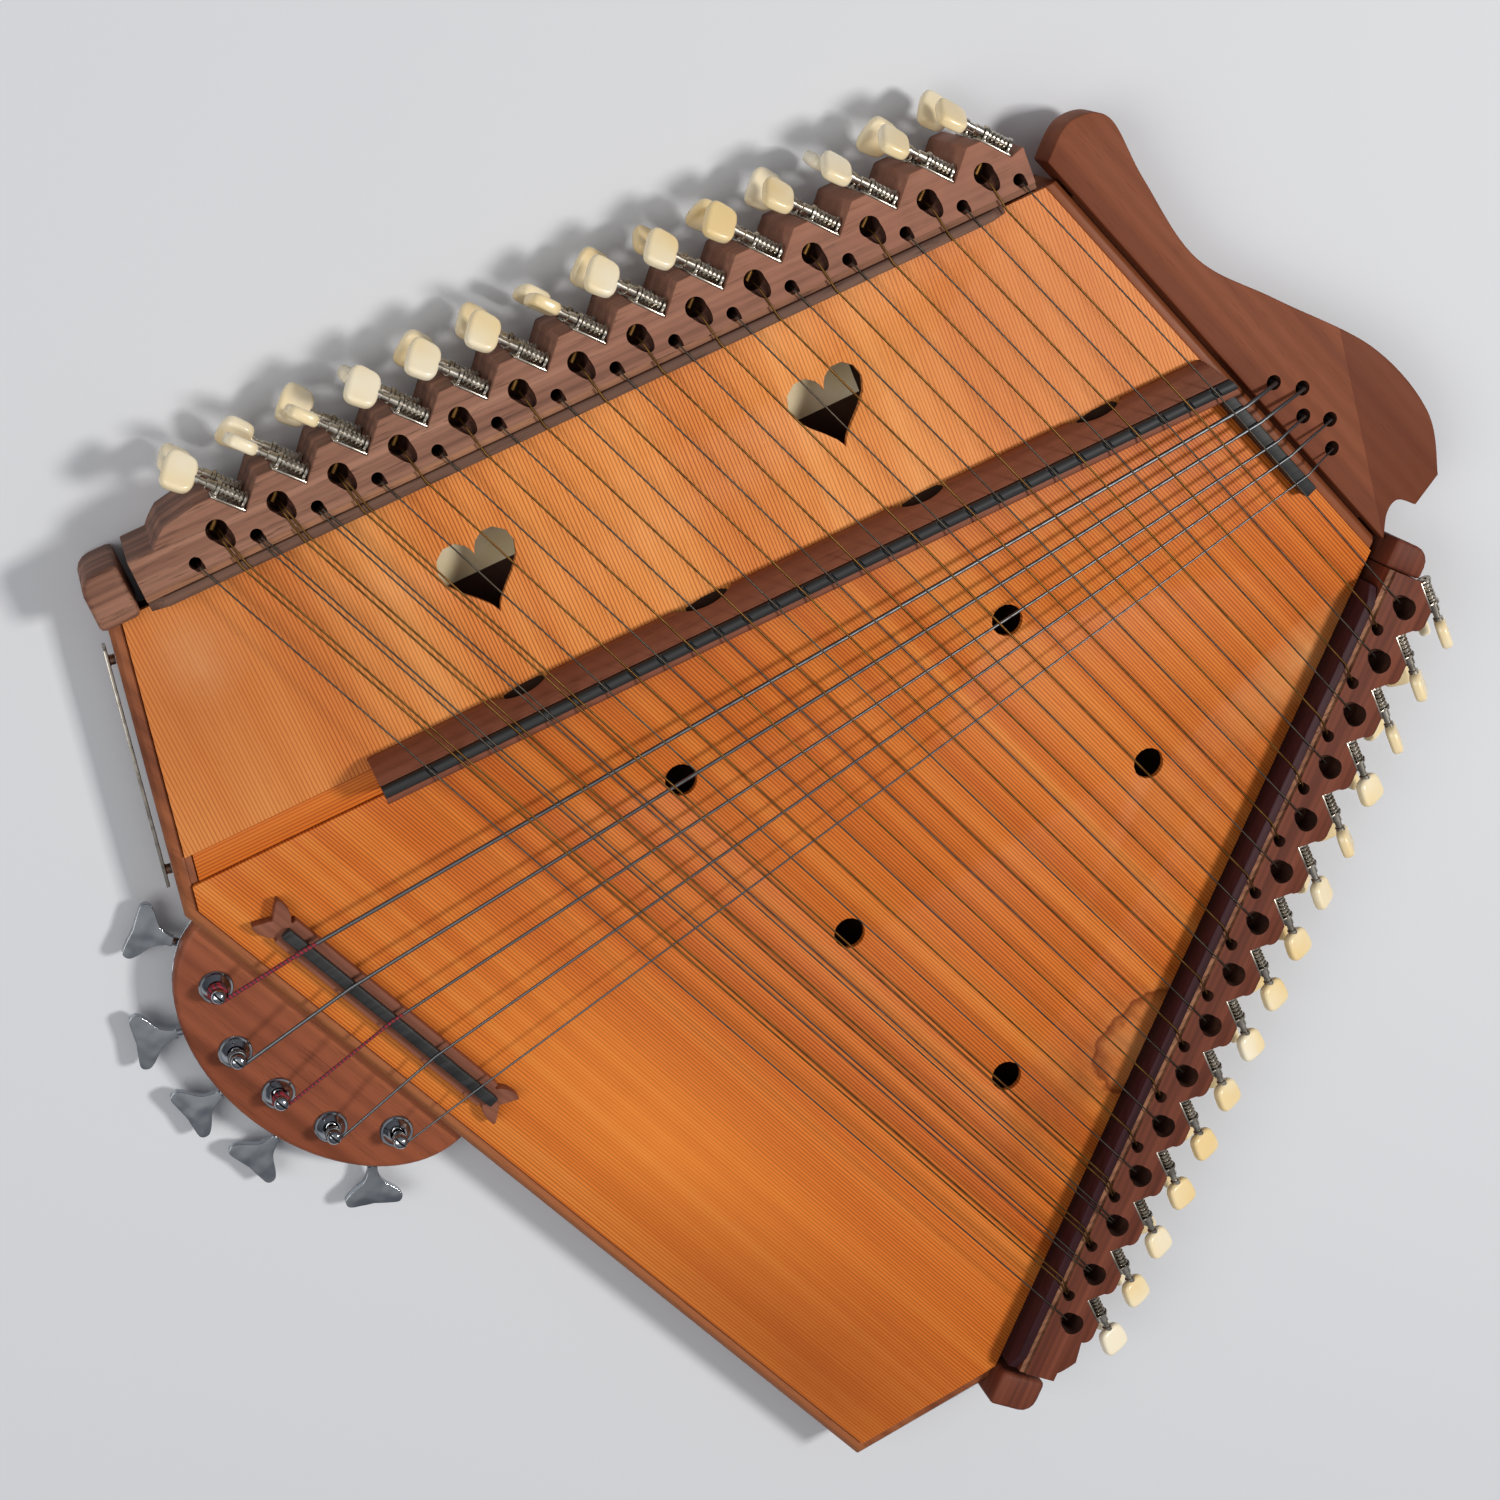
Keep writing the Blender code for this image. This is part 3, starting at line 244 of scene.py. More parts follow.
def woodMaterial(name, wood):
    # sawn and oiled board: growth lines along the grain, long light and dark bands, fine pores
    material, tree, shader = newMaterial(name)
    where = addNode(tree, "ShaderNodeTexCoord").outputs["Object"]
    turned = addNode(tree, "ShaderNodeMapping", {"Rotation": (0, 0, -wood["grain"])}, {"Vector": where}).outputs[0]
    fine = addNode(tree, "ShaderNodeMapping", {"Scale": (0.05, 1, 1)}, {"Vector": turned}).outputs[0]
    broad = addNode(tree, "ShaderNodeMapping", {"Scale": (0.018, 1, 1)}, {"Vector": turned}).outputs[0]
    lines = addNode(tree, "ShaderNodeTexWave", {"bands_direction": "Y", "Scale": 0.314 / wood["line"], "Detail": 2.0,
                                                "Distortion": wood["waver"], "Detail Scale": 0.6}, {"Vector": fine})
    bands = addNode(tree, "ShaderNodeTexNoise", {"Scale": 1 / wood["band"], "Detail": 3.0}, {"Vector": broad})
    pores = addNode(tree, "ShaderNodeTexNoise", {"Scale": 1 / wood["pore"], "Detail": 4.0, "Roughness": 0.65}, {"Vector": fine})
    spread = wood.get("spread", 0.2)
    tone = ramp(tree, bands.outputs["Fac"], ((0.5 - spread, wood["dark"]), (0.5, wood["middle"]), (0.5 + spread, wood["light"])))
    sharp = addNode(tree, "ShaderNodeMath", {"operation": "POWER", 1: wood["lineSharp"]}, {0: lines.outputs["Fac"]})
    fade = addNode(tree, "ShaderNodeMapRange", {"From Min": 0.3, "From Max": 0.7, "To Min": wood["lineStrength"] * 1.2,
                                                "To Max": wood["lineStrength"] * 0.7}, {"Value": bands.outputs["Fac"]})
    drawnLines = addNode(tree, "ShaderNodeMath", {"operation": "MULTIPLY"}, {0: sharp.outputs[0], 1: fade.outputs[0]})
    drawnPores = addNode(tree, "ShaderNodeMapRange", {"From Min": 0.55, "From Max": 0.75, "To Max": wood["poreStrength"]},
                         {"Value": pores.outputs["Fac"]})
    colour = tone.outputs["Color"]
    marks = [(drawnLines.outputs[0], wood["grainColour"]), (drawnPores.outputs[0], wood["grainColour"])]
    for stain in wood.get("stains", ()):  # darker patches from handling and damp
        near = addNode(tree, "ShaderNodeMapping", {"Location": [-c / r for c, r in zip(stain["place"], stain["reach"])],
                                                   "Scale": [1 / r for r in stain["reach"]]}, {"Vector": where})
        ball = addNode(tree, "ShaderNodeTexGradient", {"gradient_type": "SPHERICAL"}, {"Vector": near.outputs[0]})
        patchy = addNode(tree, "ShaderNodeTexNoise", {"Scale": 60.0, "Detail": 4.0}, {"Vector": where})
        uneven = addNode(tree, "ShaderNodeMapRange", {"To Min": stain.get("even", 0.0), "To Max": 1.0}, {"Value": patchy.outputs["Fac"]})
        blot = addNode(tree, "ShaderNodeMath", {"operation": "MULTIPLY"}, {0: ball.outputs["Fac"], 1: uneven.outputs[0]})
        shape = blot.outputs[0]
        if "rim" in stain:  # only the ragged edge of a dried pool
            outer, crest, inner = stain["rim"]
            edge = ((0.0, "#000000"), (outer, "#000000"), (crest, "#FFFFFF"), (inner, "#000000"))
            shape = ramp(tree, shape, edge).outputs["Color"]
        amount = addNode(tree, "ShaderNodeMath", {"operation": "MULTIPLY", 1: stain["strength"]}, {0: shape})
        marks.append((amount.outputs[0], stain["colour"]))
    if "seam" in wood:  # two boards glued side by side, one a little darker
        past = addNode(tree, "ShaderNodeVectorMath", {"operation": "DOT_PRODUCT", 1: wood["seam"]["across"]}, {0: where})
        beyond = addNode(tree, "ShaderNodeMath", {"operation": "GREATER_THAN", 1: wood["seam"]["at"]}, {0: past.outputs["Value"]})
        amount = addNode(tree, "ShaderNodeMath", {"operation": "MULTIPLY", 1: wood["seam"]["strength"]}, {0: beyond.outputs[0]})
        marks.append((amount.outputs[0], wood["seam"]["colour"]))
    for amount, hexColour in marks:
        mixed = addNode(tree, "ShaderNodeMix", {"data_type": "RGBA", 7: linear(hexColour)}, {"Factor": amount, 6: colour})
        colour = mixed.outputs[2]
    tree.links.new(colour, shader.inputs["Base Color"])
    rough = addNode(tree, "ShaderNodeMapRange", {"To Min": wood["rough"] - 0.06, "To Max": wood["rough"] + 0.1},
                    {"Value": pores.outputs["Fac"]})
    tree.links.new(rough.outputs[0], shader.inputs["Roughness"])
    bump = addNode(tree, "ShaderNodeBump", {"Strength": wood["bump"], "Distance": 0.0003}, {"Height": colour})
    tree.links.new(bump.outputs["Normal"], shader.inputs["Normal"])
    shader.inputs["Specular IOR Level"].default_value = wood.get("gloss", 0.3)
    return material


railGrain = plan["railAngle"]
# growth lines lie 1.2 mm apart, too fine for the picture, so they are drawn at about 2 mm
cedar = {"grain": 0.0, "line": 0.0019, "band": 0.016, "spread": 0.24, "pore": 0.0010, "waver": 4.0, "lineSharp": 3.0,
         "lineStrength": 0.8, "poreStrength": 0.3, "light": "#E68E40", "middle": "#DB7A30", "dark": "#CC6928",
         "grainColour": "#86380F", "rough": 0.48, "bump": 0.2, "gloss": 0.18}
rightStains = ({"place": (0.262, -0.045, 0.042), "reach": (0.042, 0.10, 0.05), "strength": 0.9, "colour": "#74391B"},
               {"place": (0.276, 0.000, 0.042), "reach": (0.040, 0.050, 0.05), "strength": 0.9, "colour": "#DDA067"},
               {"place": (0.276, 0.000, 0.042), "reach": (0.046, 0.062, 0.05), "strength": 0.8, "colour": "#6A2C10", "even": 0.35,
                "rim": (0.23, 0.26, 0.36)},
               {"place": (0.20, 0.20, 0.042), "reach": (0.10, 0.16, 0.05), "strength": 0.6, "colour": "#8A4520"},
               {"place": (0.168, 0.228, 0.042), "reach": (0.022, 0.075, 0.05), "strength": 1.0, "colour": "#E0A468"},
               {"place": (0.08, -0.24, 0.042), "reach": (0.20, 0.06, 0.05), "strength": 0.6, "colour": "#F5923C", "even": 0.7},
               {"place": (0.27, -0.29, 0.042), "reach": (0.22, 0.08, 0.05), "strength": 0.8, "colour": "#A04E1E", "even": 0.7})
leftStains = ({"place": (-0.31, -0.22, 0.042), "reach": (0.17, 0.17, 0.08), "strength": 0.65, "colour": "#AC5C2C", "even": 0.85},
              {"place": (-0.11, 0.27, 0.042), "reach": (0.18, 0.18, 0.08), "strength": 0.55, "colour": "#CC7238", "even": 0.8},
              {"place": (-0.325, -0.200, 0.042), "reach": (0.030, 0.030, 0.05), "strength": 0.5, "colour": "#DDA679"})
leftCedar = woodMaterial("leftCedarSatin", {**cedar, "grain": plan["railAngle"] - math.pi / 2, "line": 0.0021, "band": 0.030,
                                            "lineStrength": 0.65, "light": "#F6A75E", "middle": "#EC964D",
                                            "dark": "#DF833E", "stains": leftStains})
rightCedar = woodMaterial("rightCedarSatin", {**cedar, "stains": rightStains})
braceCedar = woodMaterial("braceCedarSatin", {**cedar, "grain": railGrain, "light": "#DB7A2C", "middle": "#CE6C25", "dark": "#BD5F20"})
rosewood = {"grain": railGrain, "line": 0.005, "band": 0.010, "pore": 0.0013, "waver": 2.0, "lineSharp": 2.0,
            "lineStrength": 0.25, "poreStrength": 0.9, "light": "#A67963", "middle": "#8D624F", "dark": "#69483A",
            "grainColour": "#2E1C17", "rough": 0.58, "bump": 0.6, "gloss": 0.2}
paleEnd = ({"place": (-0.19, 0.28, 0.06), "reach": (0.26, 0.34, 0.3), "strength": 1.3, "colour": "#A36C56"},)
leftRosewood = woodMaterial("leftRosewoodOiled", {**rosewood, "stains": paleEnd})
rightRosewood = woodMaterial("rightRosewoodOiled", {**rosewood, "grain": math.pi - railGrain, "poreStrength": 0.4, "light": "#7E4532",
                                                    "middle": "#6B3828", "dark": "#552A1E"})
wornRosewood = woodMaterial("wornRosewoodBare", {**rosewood, "light": "#A87859", "middle": "#8E6148", "dark": "#744B38"})
mahogany = {"grain": 0.0, "line": 0.011, "band": 0.03, "pore": 0.0011, "waver": 3.0, "lineSharp": 1.4, "lineStrength": 0.25,
            "poreStrength": 0.6, "light": "#82482C", "middle": "#733D24", "dark": "#61301C", "grainColour": "#3E1C10",
            "rough": 0.46, "bump": 0.3, "gloss": 0.22}
wingSeam = {"across": (0.467, 0.884, 0), "at": 0.3495, "strength": 0.55, "colour": "#5A2A1A"}
wingMahogany = woodMaterial("wingMahoganySatin", {**mahogany, "light": "#92563A", "middle": "#824930", "dark": "#703B26",
                                                  "lineStrength": 0.15, "poreStrength": 0.4, "rough": 0.55, "gloss": 0.12,
                                                  "seam": wingSeam})
rimMahogany = woodMaterial("rimMahoganySatin", {**mahogany, "light": "#A0623C", "middle": "#8F5231", "dark": "#7A4227"})
headMahogany = woodMaterial("headMahoganySatin", {**mahogany, "light": "#A8623F", "middle": "#955237", "dark": "#7C412A"})
bridgeMahogany = woodMaterial("bridgeMahoganySatin", {**mahogany, "grain": railGrain, "line": 0.005, "light": "#96604A",
                                                      "middle": "#834F3C", "dark": "#6E3F30"})
bassBridgeMahogany = woodMaterial("bassBridgeMahoganySatin", {**mahogany, "line": 0.005, "light": "#96604A", "middle": "#834F3C",
                                                              "dark": "#6E3F30"})
slottedNutWood = woodMaterial("slottedNutWood", {**rosewood, "light": "#80604F", "middle": "#6B4D3F", "dark": "#543A30"})
# dark maroon nut wood, darkened further as painted shade on the nut's inner face, which faces away from the light
nutWoodPaintedShade = woodMaterial("nutWoodPaintedShade", {**rosewood, "grain": math.pi - railGrain, "light": "#42242A", "middle": "#35191E",
                                           "dark": "#281316", "grainColour": "#180B0D"})
ebony = woodMaterial("ebonyPolished", {**rosewood, "light": "#333436", "middle": "#28292A", "dark": "#1E1F20",
                                       "grainColour": "#0F1011", "rough": 0.5, "bump": 0.3, "gloss": 0.3})
# raw gouged wood, darker than the oiled faces; its darkness also paints the shade inside holes, scoops and bores
cutWoodAndShade = woodMaterial("gougedWoodAndPaintedShade", {**rosewood, "light": "#5C392B", "middle": "#492C22", "dark": "#37221B", "rough": 0.75})
# dark raw plywood inside the body; the same dark colour also serves as painted shade in the treble bridge's arches
darkPlyAndArchShade = woodMaterial("darkPlyRawAndArchShade", {**mahogany, "light": "#4A3020", "middle": "#3C261A", "dark": "#2F1D13", "rough": 0.65})


def metalMaterial(name, metal):
    # plated or drawn metal: even colour, faint wiping marks in the gloss
    material, tree, shader = newMaterial(name)
    where = addNode(tree, "ShaderNodeTexCoord")
    marks = addNode(tree, "ShaderNodeTexNoise", {"Scale": 1 / metal["mark"], "Detail": 5.0}, {"Vector": where.outputs["Object"]})
    tint = ramp(tree, marks.outputs["Fac"], ((0.35, metal["dark"]), (0.6, metal["light"])))
    tree.links.new(tint.outputs["Color"], shader.inputs["Base Color"])
    rough = addNode(tree, "ShaderNodeMapRange", {"To Min": metal["rough"] - 0.04, "To Max": metal["rough"] + 0.06},
                    {"Value": marks.outputs["Fac"]})
    tree.links.new(rough.outputs[0], shader.inputs["Roughness"])
    shader.inputs["Metallic"].default_value = 1.0
    if "dent" in metal:  # cast pieces are not quite flat
        waves = addNode(tree, "ShaderNodeTexNoise", {"Scale": 1 / metal["dent"], "Detail": 1.0}, {"Vector": where.outputs["Object"]})
        bump = addNode(tree, "ShaderNodeBump", {"Strength": 0.9, "Distance": 0.002}, {"Height": waves.outputs["Fac"]})
        tree.links.new(bump.outputs["Normal"], shader.inputs["Normal"])
    return material


nickel = metalMaterial("nickelPlated", {"light": "#CBC4B8", "dark": "#A49C90", "rough": 0.27, "mark": 0.006})
chrome = metalMaterial("chromePlated", {"light": "#B9BEC4", "dark": "#9BA1A8", "rough": 0.12, "mark": 0.03, "dent": 0.014})
steel = metalMaterial("stringSteelDrawn", {"light": "#57524A", "dark": "#443F38", "rough": 0.45, "mark": 0.01})
bronze = metalMaterial("stringBronzeWound", {"light": "#77582F", "dark": "#5C4222", "rough": 0.45, "mark": 0.01})


def creamMaterial():
    # moulded cream plastic, polished by fingers, some more yellowed than others
    material, tree, shader = newMaterial("creamPlasticMoulded")
    where = addNode(tree, "ShaderNodeTexCoord")
    cloud = addNode(tree, "ShaderNodeTexNoise", {"Scale": 16.0, "Detail": 3.0}, {"Vector": where.outputs["Object"]})
    tint = ramp(tree, cloud.outputs["Fac"], ((0.35, "#EFD39A"), (0.5, "#F3E0B6"), (0.65, "#F7ECD2")))
    tree.links.new(tint.outputs["Color"], shader.inputs["Base Color"])
    shader.inputs["Roughness"].default_value = 0.22
    shader.inputs["Subsurface Weight"].default_value = 0.08
    shader.inputs["Subsurface Radius"].default_value = (0.004, 0.003, 0.002)
    return material


cream = creamMaterial()


def threadMaterial(name, light, dark, pitch, rough, metallic):
    # close winding: fine turns seen as light and dark stripes across the string
    material, tree, shader = newMaterial(name)
    where = addNode(tree, "ShaderNodeTexCoord")
    turns = addNode(tree, "ShaderNodeTexWave", {"bands_direction": "Y", "Scale": 0.314 / pitch}, {"Vector": where.outputs["Object"]})
    tint = ramp(tree, turns.outputs["Fac"], ((0.2, dark), (0.8, light)))
    tree.links.new(tint.outputs["Color"], shader.inputs["Base Color"])
    bump = addNode(tree, "ShaderNodeBump", {"Strength": 0.05, "Distance": 0.0002}, {"Height": turns.outputs["Fac"]})
    tree.links.new(bump.outputs["Normal"], shader.inputs["Normal"])
    shader.inputs["Roughness"].default_value = rough
    shader.inputs["Metallic"].default_value = metallic
    return material


# the real turns are 0.3 mm apart, too fine to show, so they are drawn at 0.8 mm
woundSteel = threadMaterial("bassNickelWound", "#787B7E", "#707376", 0.0008, 0.45, 1.0)
redSilk = threadMaterial("redSilkWhipping", "#971B2D", "#4A2A30", 0.0026, 0.7, 0.0)


def paperMaterial():
    # thin uncoated paper, browned unevenly with age
    material, tree, shader = newMaterial("agedPaperUncoated")
    where = addNode(tree, "ShaderNodeTexCoord")
    age = addNode(tree, "ShaderNodeTexNoise", {"Scale": 45.0, "Detail": 5.0}, {"Vector": where.outputs["Object"]})
    tint = ramp(tree, age.outputs["Fac"], ((0.3, "#F5E2B2"), (0.7, "#FFF1CE")))
    tree.links.new(tint.outputs["Color"], shader.inputs["Base Color"])
    shader.inputs["Roughness"].default_value = 0.8
    return material


paper = paperMaterial()
print("materials made")

# Body: boards, rims, brace, blocks and nuts keep the imported shape, with eased edges
woodPieces = {"left_soundboard": (leftCedar, 0.0005), "right_soundboard": (rightCedar, 0.0010), "cross_brace": (braceCedar, 0.0005),
              "front_rim": (rimMahogany, 0.0008), "back_rim": (rimMahogany, 0.0006), "back_panel": (darkPlyAndArchShade, 0.0006),
              "left_front_block": (leftRosewood, 0.0030), "right_front_block": (rightRosewood, 0.0030),
              "right_back_block": (rightRosewood, 0.0020), "left_nut": (slottedNutWood, 0.0005), "right_nut": (nutWoodPaintedShade, 0.0006),
              "bass_nut": (ebony, 0.0008)}
for node, (wood, easing) in woodPieces.items():
    dressed(softEdges(copyOfPart(node, node + "_wood"), easing), wood, "body", node)
dressed(softEdges(copyOfPart("side_plate", "side_plate_metal"), 0.0004), nickel, "body", "side_plate")
print("body dressed")


def drill(place, radius, depth):
    bpy.ops.mesh.primitive_cylinder_add(vertices=28, radius=radius, depth=depth + 0.002, location=place - up * (depth / 2 - 0.001))
    bpy.ops.object.transform_apply(location=True, rotation=True, scale=True)
    return bpy.context.view_layer.objects.active


# Treble bridge: the imported shape with its four arches hollowed further in, their cut faces dark as painted shade
arch = {"places": (0.1117, 0.2244, 0.3614, 0.4741), "in": 0.1548, "wide": 0.036, "high": 0.0125, "deep": 0.013, "foot": 0.0423,
        "shadeSheet": ((-0.30, 0.0030), (0.0, 0.0012), (0.34, 0.0012), (0.42, 0.0030), (0.36, 0.0150), (-0.30, 0.0150))}
trebleBridge = softEdges(copyOfPart("treble_bridge", "treble_bridge_wood"), 0.0009)
trebleBridge.data.materials.append(bridgeMahogany)
hollows = []
for s in arch["places"]:
    inward = onRail(-1, 0, 1) - onRail(-1, 0, 0)
    hollow = lathed("hollow", [(0, 0.0), (0, arch["wide"] / 2), (arch["deep"], arch["wide"] / 2), (arch["deep"], 0.0)], 32)
    facing = Matrix.Translation(onRail(-1, s, arch["in"]) + up * arch["foot"]) @ Matrix.Rotation(math.atan2(inward.y, inward.x), 4, "Z")
    hollows.append(placed(hollow, facing @ Matrix.Diagonal((1, 1, 2 * arch["high"] / arch["wide"], 1))))
# the arches' cut faces take the dark ply colour as painted shade
cutAway(trebleBridge, hollows, darkPlyAndArchShade)
dressed(trebleBridge, bridgeMahogany, "body", "treble_bridge")
shadeSheets = []
for s in arch["places"]:  # painted shade: a thin dark sheet on the board inside each arch
    edge = [onRail(-1, s + along * arch["wide"], arch["in"] + deep) for along, deep in arch["shadeSheet"]]
    shadeSheets.append(extruded("shadeSheet", edge, plan["boardTop"] + 0.0001, plan["boardTop"] + 0.0004))
dressed(joined("bridge_arch_painted_shade", shadeSheets), darkPlyAndArchShade)

# Wing: a flat curved board behind the body, tongued into it, with the holes for the bass strings' ends
wing = {"shares": (-1.086, -1.132, -1.033, -0.768, -0.390, -0.032, 0.405, 0.770, 1.001),
        "depths": (0.0, 0.024, 0.042, 0.034, 0.027, 0.046, 0.070, 0.070, 0.050),
        "notchShares": (1.021, 0.948, 0.955, 1.028), "notchDepths": (0.028, 0.022, 0.012, 0.0),
        "bodyBack": 0.3140, "gap": 0.0020, "bodyIn": 0.0267, "low": 0.021, "top": 0.043, "tongueIn": 0.0145, "tongueZ": (0.025, 0.035),
        "anchorR": 0.0045, "anchors": ((0.0258, 0.3289), (0.0417, 0.3393), (0.0546, 0.3289), (0.0688, 0.3393), (0.0829, 0.3289))}
backEnds = [onRailAtY(side, wing["bodyBack"], wing["bodyIn"]).x for side in (-1, 1)]
backMiddle, backHalf = (backEnds[0] + backEnds[1]) / 2, (backEnds[1] - backEnds[0]) / 2
wingEdge = []
for shares, depths, steps in ((wing["shares"], wing["depths"], 12), (wing["notchShares"], wing["notchDepths"], 6)):
    wingEdge += smoothLine([(backMiddle + share * backHalf, wing["bodyBack"] + wing["gap"] + depth) for share, depth in zip(shares, depths)], steps)
wingBoard = softEdges(extruded("wing_plate_wood", wingEdge, wing["low"], wing["top"]), 0.0040, 4, 50)
wingBoard.data.materials.append(wingMahogany)
freshStart()
cutAway(wingBoard, [drill(Vector((*place, wing["top"])), wing["anchorR"], wing["top"] - wing["low"] + 0.002) for place in wing["anchors"]], cutWoodAndShade)
tongueX, tongueY = backHalf - wing["tongueIn"], wing["bodyBack"]
tongue = extruded("tongue", [(backMiddle - tongueX, tongueY + 0.0003), (backMiddle + tongueX, tongueY + 0.0003),
                             (backMiddle + tongueX, tongueY + wing["gap"] + 0.0005), (backMiddle - tongueX, tongueY + wing["gap"] + 0.0005)],
                  *wing["tongueZ"])
tongue.data.materials.append(wingMahogany)
wingBoard = joined("wing_plate_wood", [wingBoard, tongue])
bpy.ops.object.shade_smooth_by_angle(angle=math.radians(35))
dressed(wingBoard, wingMahogany, "body", "wing_plate")
print("bridge and wing dressed")

# Rails: a toothed edge outside, drilled and scooped on top
rail = {"peakOut": 0.017, "notchOut": 0.0019, "peakFlat": 0.0085, "neckOut": 0.0045, "shoulderOut": 0.0135, "ogeeRun": 0.024,
        "ogeeCove": 0.010, "frontRun": {-1: 0.049, 1: 0.040}, "backRun": {-1: 0.026, 1: 0.0185}, "lobeRound": 0.006,
        "bigHole": {-1: 0.0060, 1: 0.0067}, "smallHole": 0.0035, "bigDepth": 0.016, "smallDepth": 0.034,
        "bigScoop": {-1: (0.0055, 0.0125), 1: (0.0063, 0.0115)}, "smallScoop": {-1: (0.0032, 0.0070), 1: (0.0033, 0.0060)},
        "stepWide": 0.0038, "stepDeep": 0.0020, "ledge": 0.006, "ledgeTop": 0.0377, "ledgeBack": 0.006, "easing": 0.0007}


def railOutline(side):
    count, pitch = plan["teeth"][side], plan["pitch"]
    last = (count - 1) * pitch
    half = rail["peakFlat"] / 2
    edge = [(-rail["frontRun"][side], -rail["neckOut"])]
    for i in range(7):  # cove at the player's end
        turn = math.pi / 2 * i / 6
        edge.append((-rail["ogeeRun"] - rail["ogeeCove"] * math.cos(turn),
                     -rail["neckOut"] - (rail["shoulderOut"] - rail["neckOut"]) * (1 - math.cos(turn)) ** 0.8))
    for k in range(count):
        s = k * pitch
        if k:
            edge.append((s - pitch / 2, -rail["notchOut"]))
        if side == 1:
            for i in range(4):
                turn = math.pi / 2 * i / 4
                edge.append((s - half - rail["lobeRound"] * math.cos(turn), -rail["peakOut"] + rail["lobeRound"] * (1 - math.sin(turn))))
        edge += [(s - half, -rail["peakOut"]), (s + half, -rail["peakOut"])]
    edge += [(last + pitch / 2, -rail["notchOut"]), (last + rail["backRun"][side], -rail["neckOut"]),
             (last + rail["backRun"][side], plan["railIn"]), (-rail["frontRun"][side], plan["railIn"])]
    return [onRail(side, s, t) for s, t in edge]


def ledgeOutline(side):
    ends = (-rail["frontRun"][side], (plan["teeth"][side] - 1) * plan["pitch"] + rail["ledgeBack"])
    return [onRail(side, s, t) for s, t in ((ends[0], plan["railIn"]), (ends[1], plan["railIn"]),
                                            (ends[1], plan["nutIn"] + rail["ledge"]), (ends[0], plan["nutIn"] + rail["ledge"]))]


def scoop(place, side, size):  # a rounded gouge cut from the hole towards the strings
    wide, length = size
    turns = [math.pi / 2 * i / 7 for i in range(8)]
    gouge = lathed("gouge", [(0, 0.0)] + [(length * math.sin(a), wide * math.cos(a)) for a in turns], 24)
    facing = Matrix.Translation(place) @ Matrix.Rotation(math.pi if side == 1 else 0, 4, "Z")
    return placed(gouge, facing)


def innerStep(side):  # the low step that the strings cross on their way to the nut
    ends = (-rail["frontRun"][side] - 0.002, (plan["teeth"][side] - 1) * plan["pitch"] + rail["backRun"][side] + 0.002)
    inner, outer = plan["railIn"] + 0.002, plan["railIn"] - rail["stepWide"]
    edge = [onRail(side, s, t) for s, t in ((ends[0], outer), (ends[1], outer), (ends[1], inner), (ends[0], inner))]
    return extruded("step", edge, plan["railTop"] - rail["stepDeep"], plan["railTop"] + 0.002)


def bigHoles(side):
    return [onRail(side, k * plan["pitch"], 0) for k in range(plan["teeth"][side])]


def smallHoles(side):
    first, count = (-0.5, plan["teeth"][side] + 1) if side == -1 else (0.5, plan["teeth"][side] - 1)
    return [onRail(side, (k + first) * plan["pitch"], plan["smallHoleIn"]) for k in range(count)]


for side, word, wood in ((-1, "left", leftRosewood), (1, "right", rightRosewood)):
    stock = extruded(word + "_rail_wood", railOutline(side), 0.0, plan["railTop"])
    softEdges(stock, rail["easing"])
    stock.data.materials.append(wood)
    cutAway(stock, [innerStep(side)], wornRosewood)
    freshStart()
    cutters = []
    for place in bigHoles(side):
        top = place + up * plan["railTop"]
        cutters += [drill(top, rail["bigHole"][side], rail["bigDepth"]), scoop(top, side, rail["bigScoop"][side])]
    for place in smallHoles(side):
        top = place + up * plan["railTop"]
        cutters += [drill(top, rail["smallHole"], rail["smallDepth"]), scoop(top, side, rail["smallScoop"][side])]
    cutAway(stock, cutters, cutWoodAndShade)
    pick(stock)
    bpy.ops.object.shade_smooth_by_angle(angle=math.radians(32))
    dressed(stock, wood, "body", word + "_pin_rail")
    dressed(softEdges(extruded(word + "_rail_ledge", ledgeOutline(side), 0.0, rail["ledgeTop"]), 0.0004), wood)
print("rails dressed")

# Geared tuners: one knob and one mounting, modelled along X with the worm at the origin, then copied to every place
tuner = {"wormR": 0.0036, "wormRoot": 0.0022, "wormHalf": 0.0066, "ribs": 5, "shaftR": 0.0017, "collarR": 0.0030,
         "neckR": 0.0021, "sleeve": (0.0088, 0.0138), "buttonStart": 0.0200,
         "button": {"left": (0.018, 0.024, 0.007), "right": (0.0182, 0.0195, 0.0068)},
         "wormOut": 0.0052, "plate": (0.0195, 0.0012, 0.0125), "earAt": 0.0077, "earT": 0.0015, "earR": 0.0044, "rowStep": 0.029,
         "turns": {"left": (36, 97, 97, 36, 38, 36, 100, 36, 38, 38, 56, 60, 60, 62),
                   "right": (-20, -22, -24, -18, -22, -26, -20, -22, -24, -42, -62, -25, -66, -60, -66)}}  # how far each button stands turned, in degrees


def wormProfile():
    half, ribs = tuner["wormHalf"], tuner["ribs"]
    step = 2 * half / ribs
    profile = [(-half, 0.0)]
    for i in range(ribs):  # round ridges of the worm's turns
        a = -half + i * step
        profile += [(a, tuner["wormRoot"]), (a + step * 0.25, tuner["wormRoot"]), (a + step * 0.35, tuner["wormR"]),
                    (a + step * 0.75, tuner["wormR"]), (a + step * 0.85, tuner["wormRoot"])]
    sleeve, button = tuner["sleeve"], tuner["buttonStart"]
    return profile + [(half, tuner["wormRoot"]), (half, tuner["shaftR"]), (sleeve[0], tuner["shaftR"]), (sleeve[0], tuner["collarR"]),
                      (sleeve[1], tuner["collarR"]), (sleeve[1] + 0.0005, tuner["neckR"]), (button - 0.002, tuner["neckR"]),
                      (button - 0.0015, tuner["collarR"]), (button + 0.003, tuner["collarR"]), (button + 0.003, 0.0)]


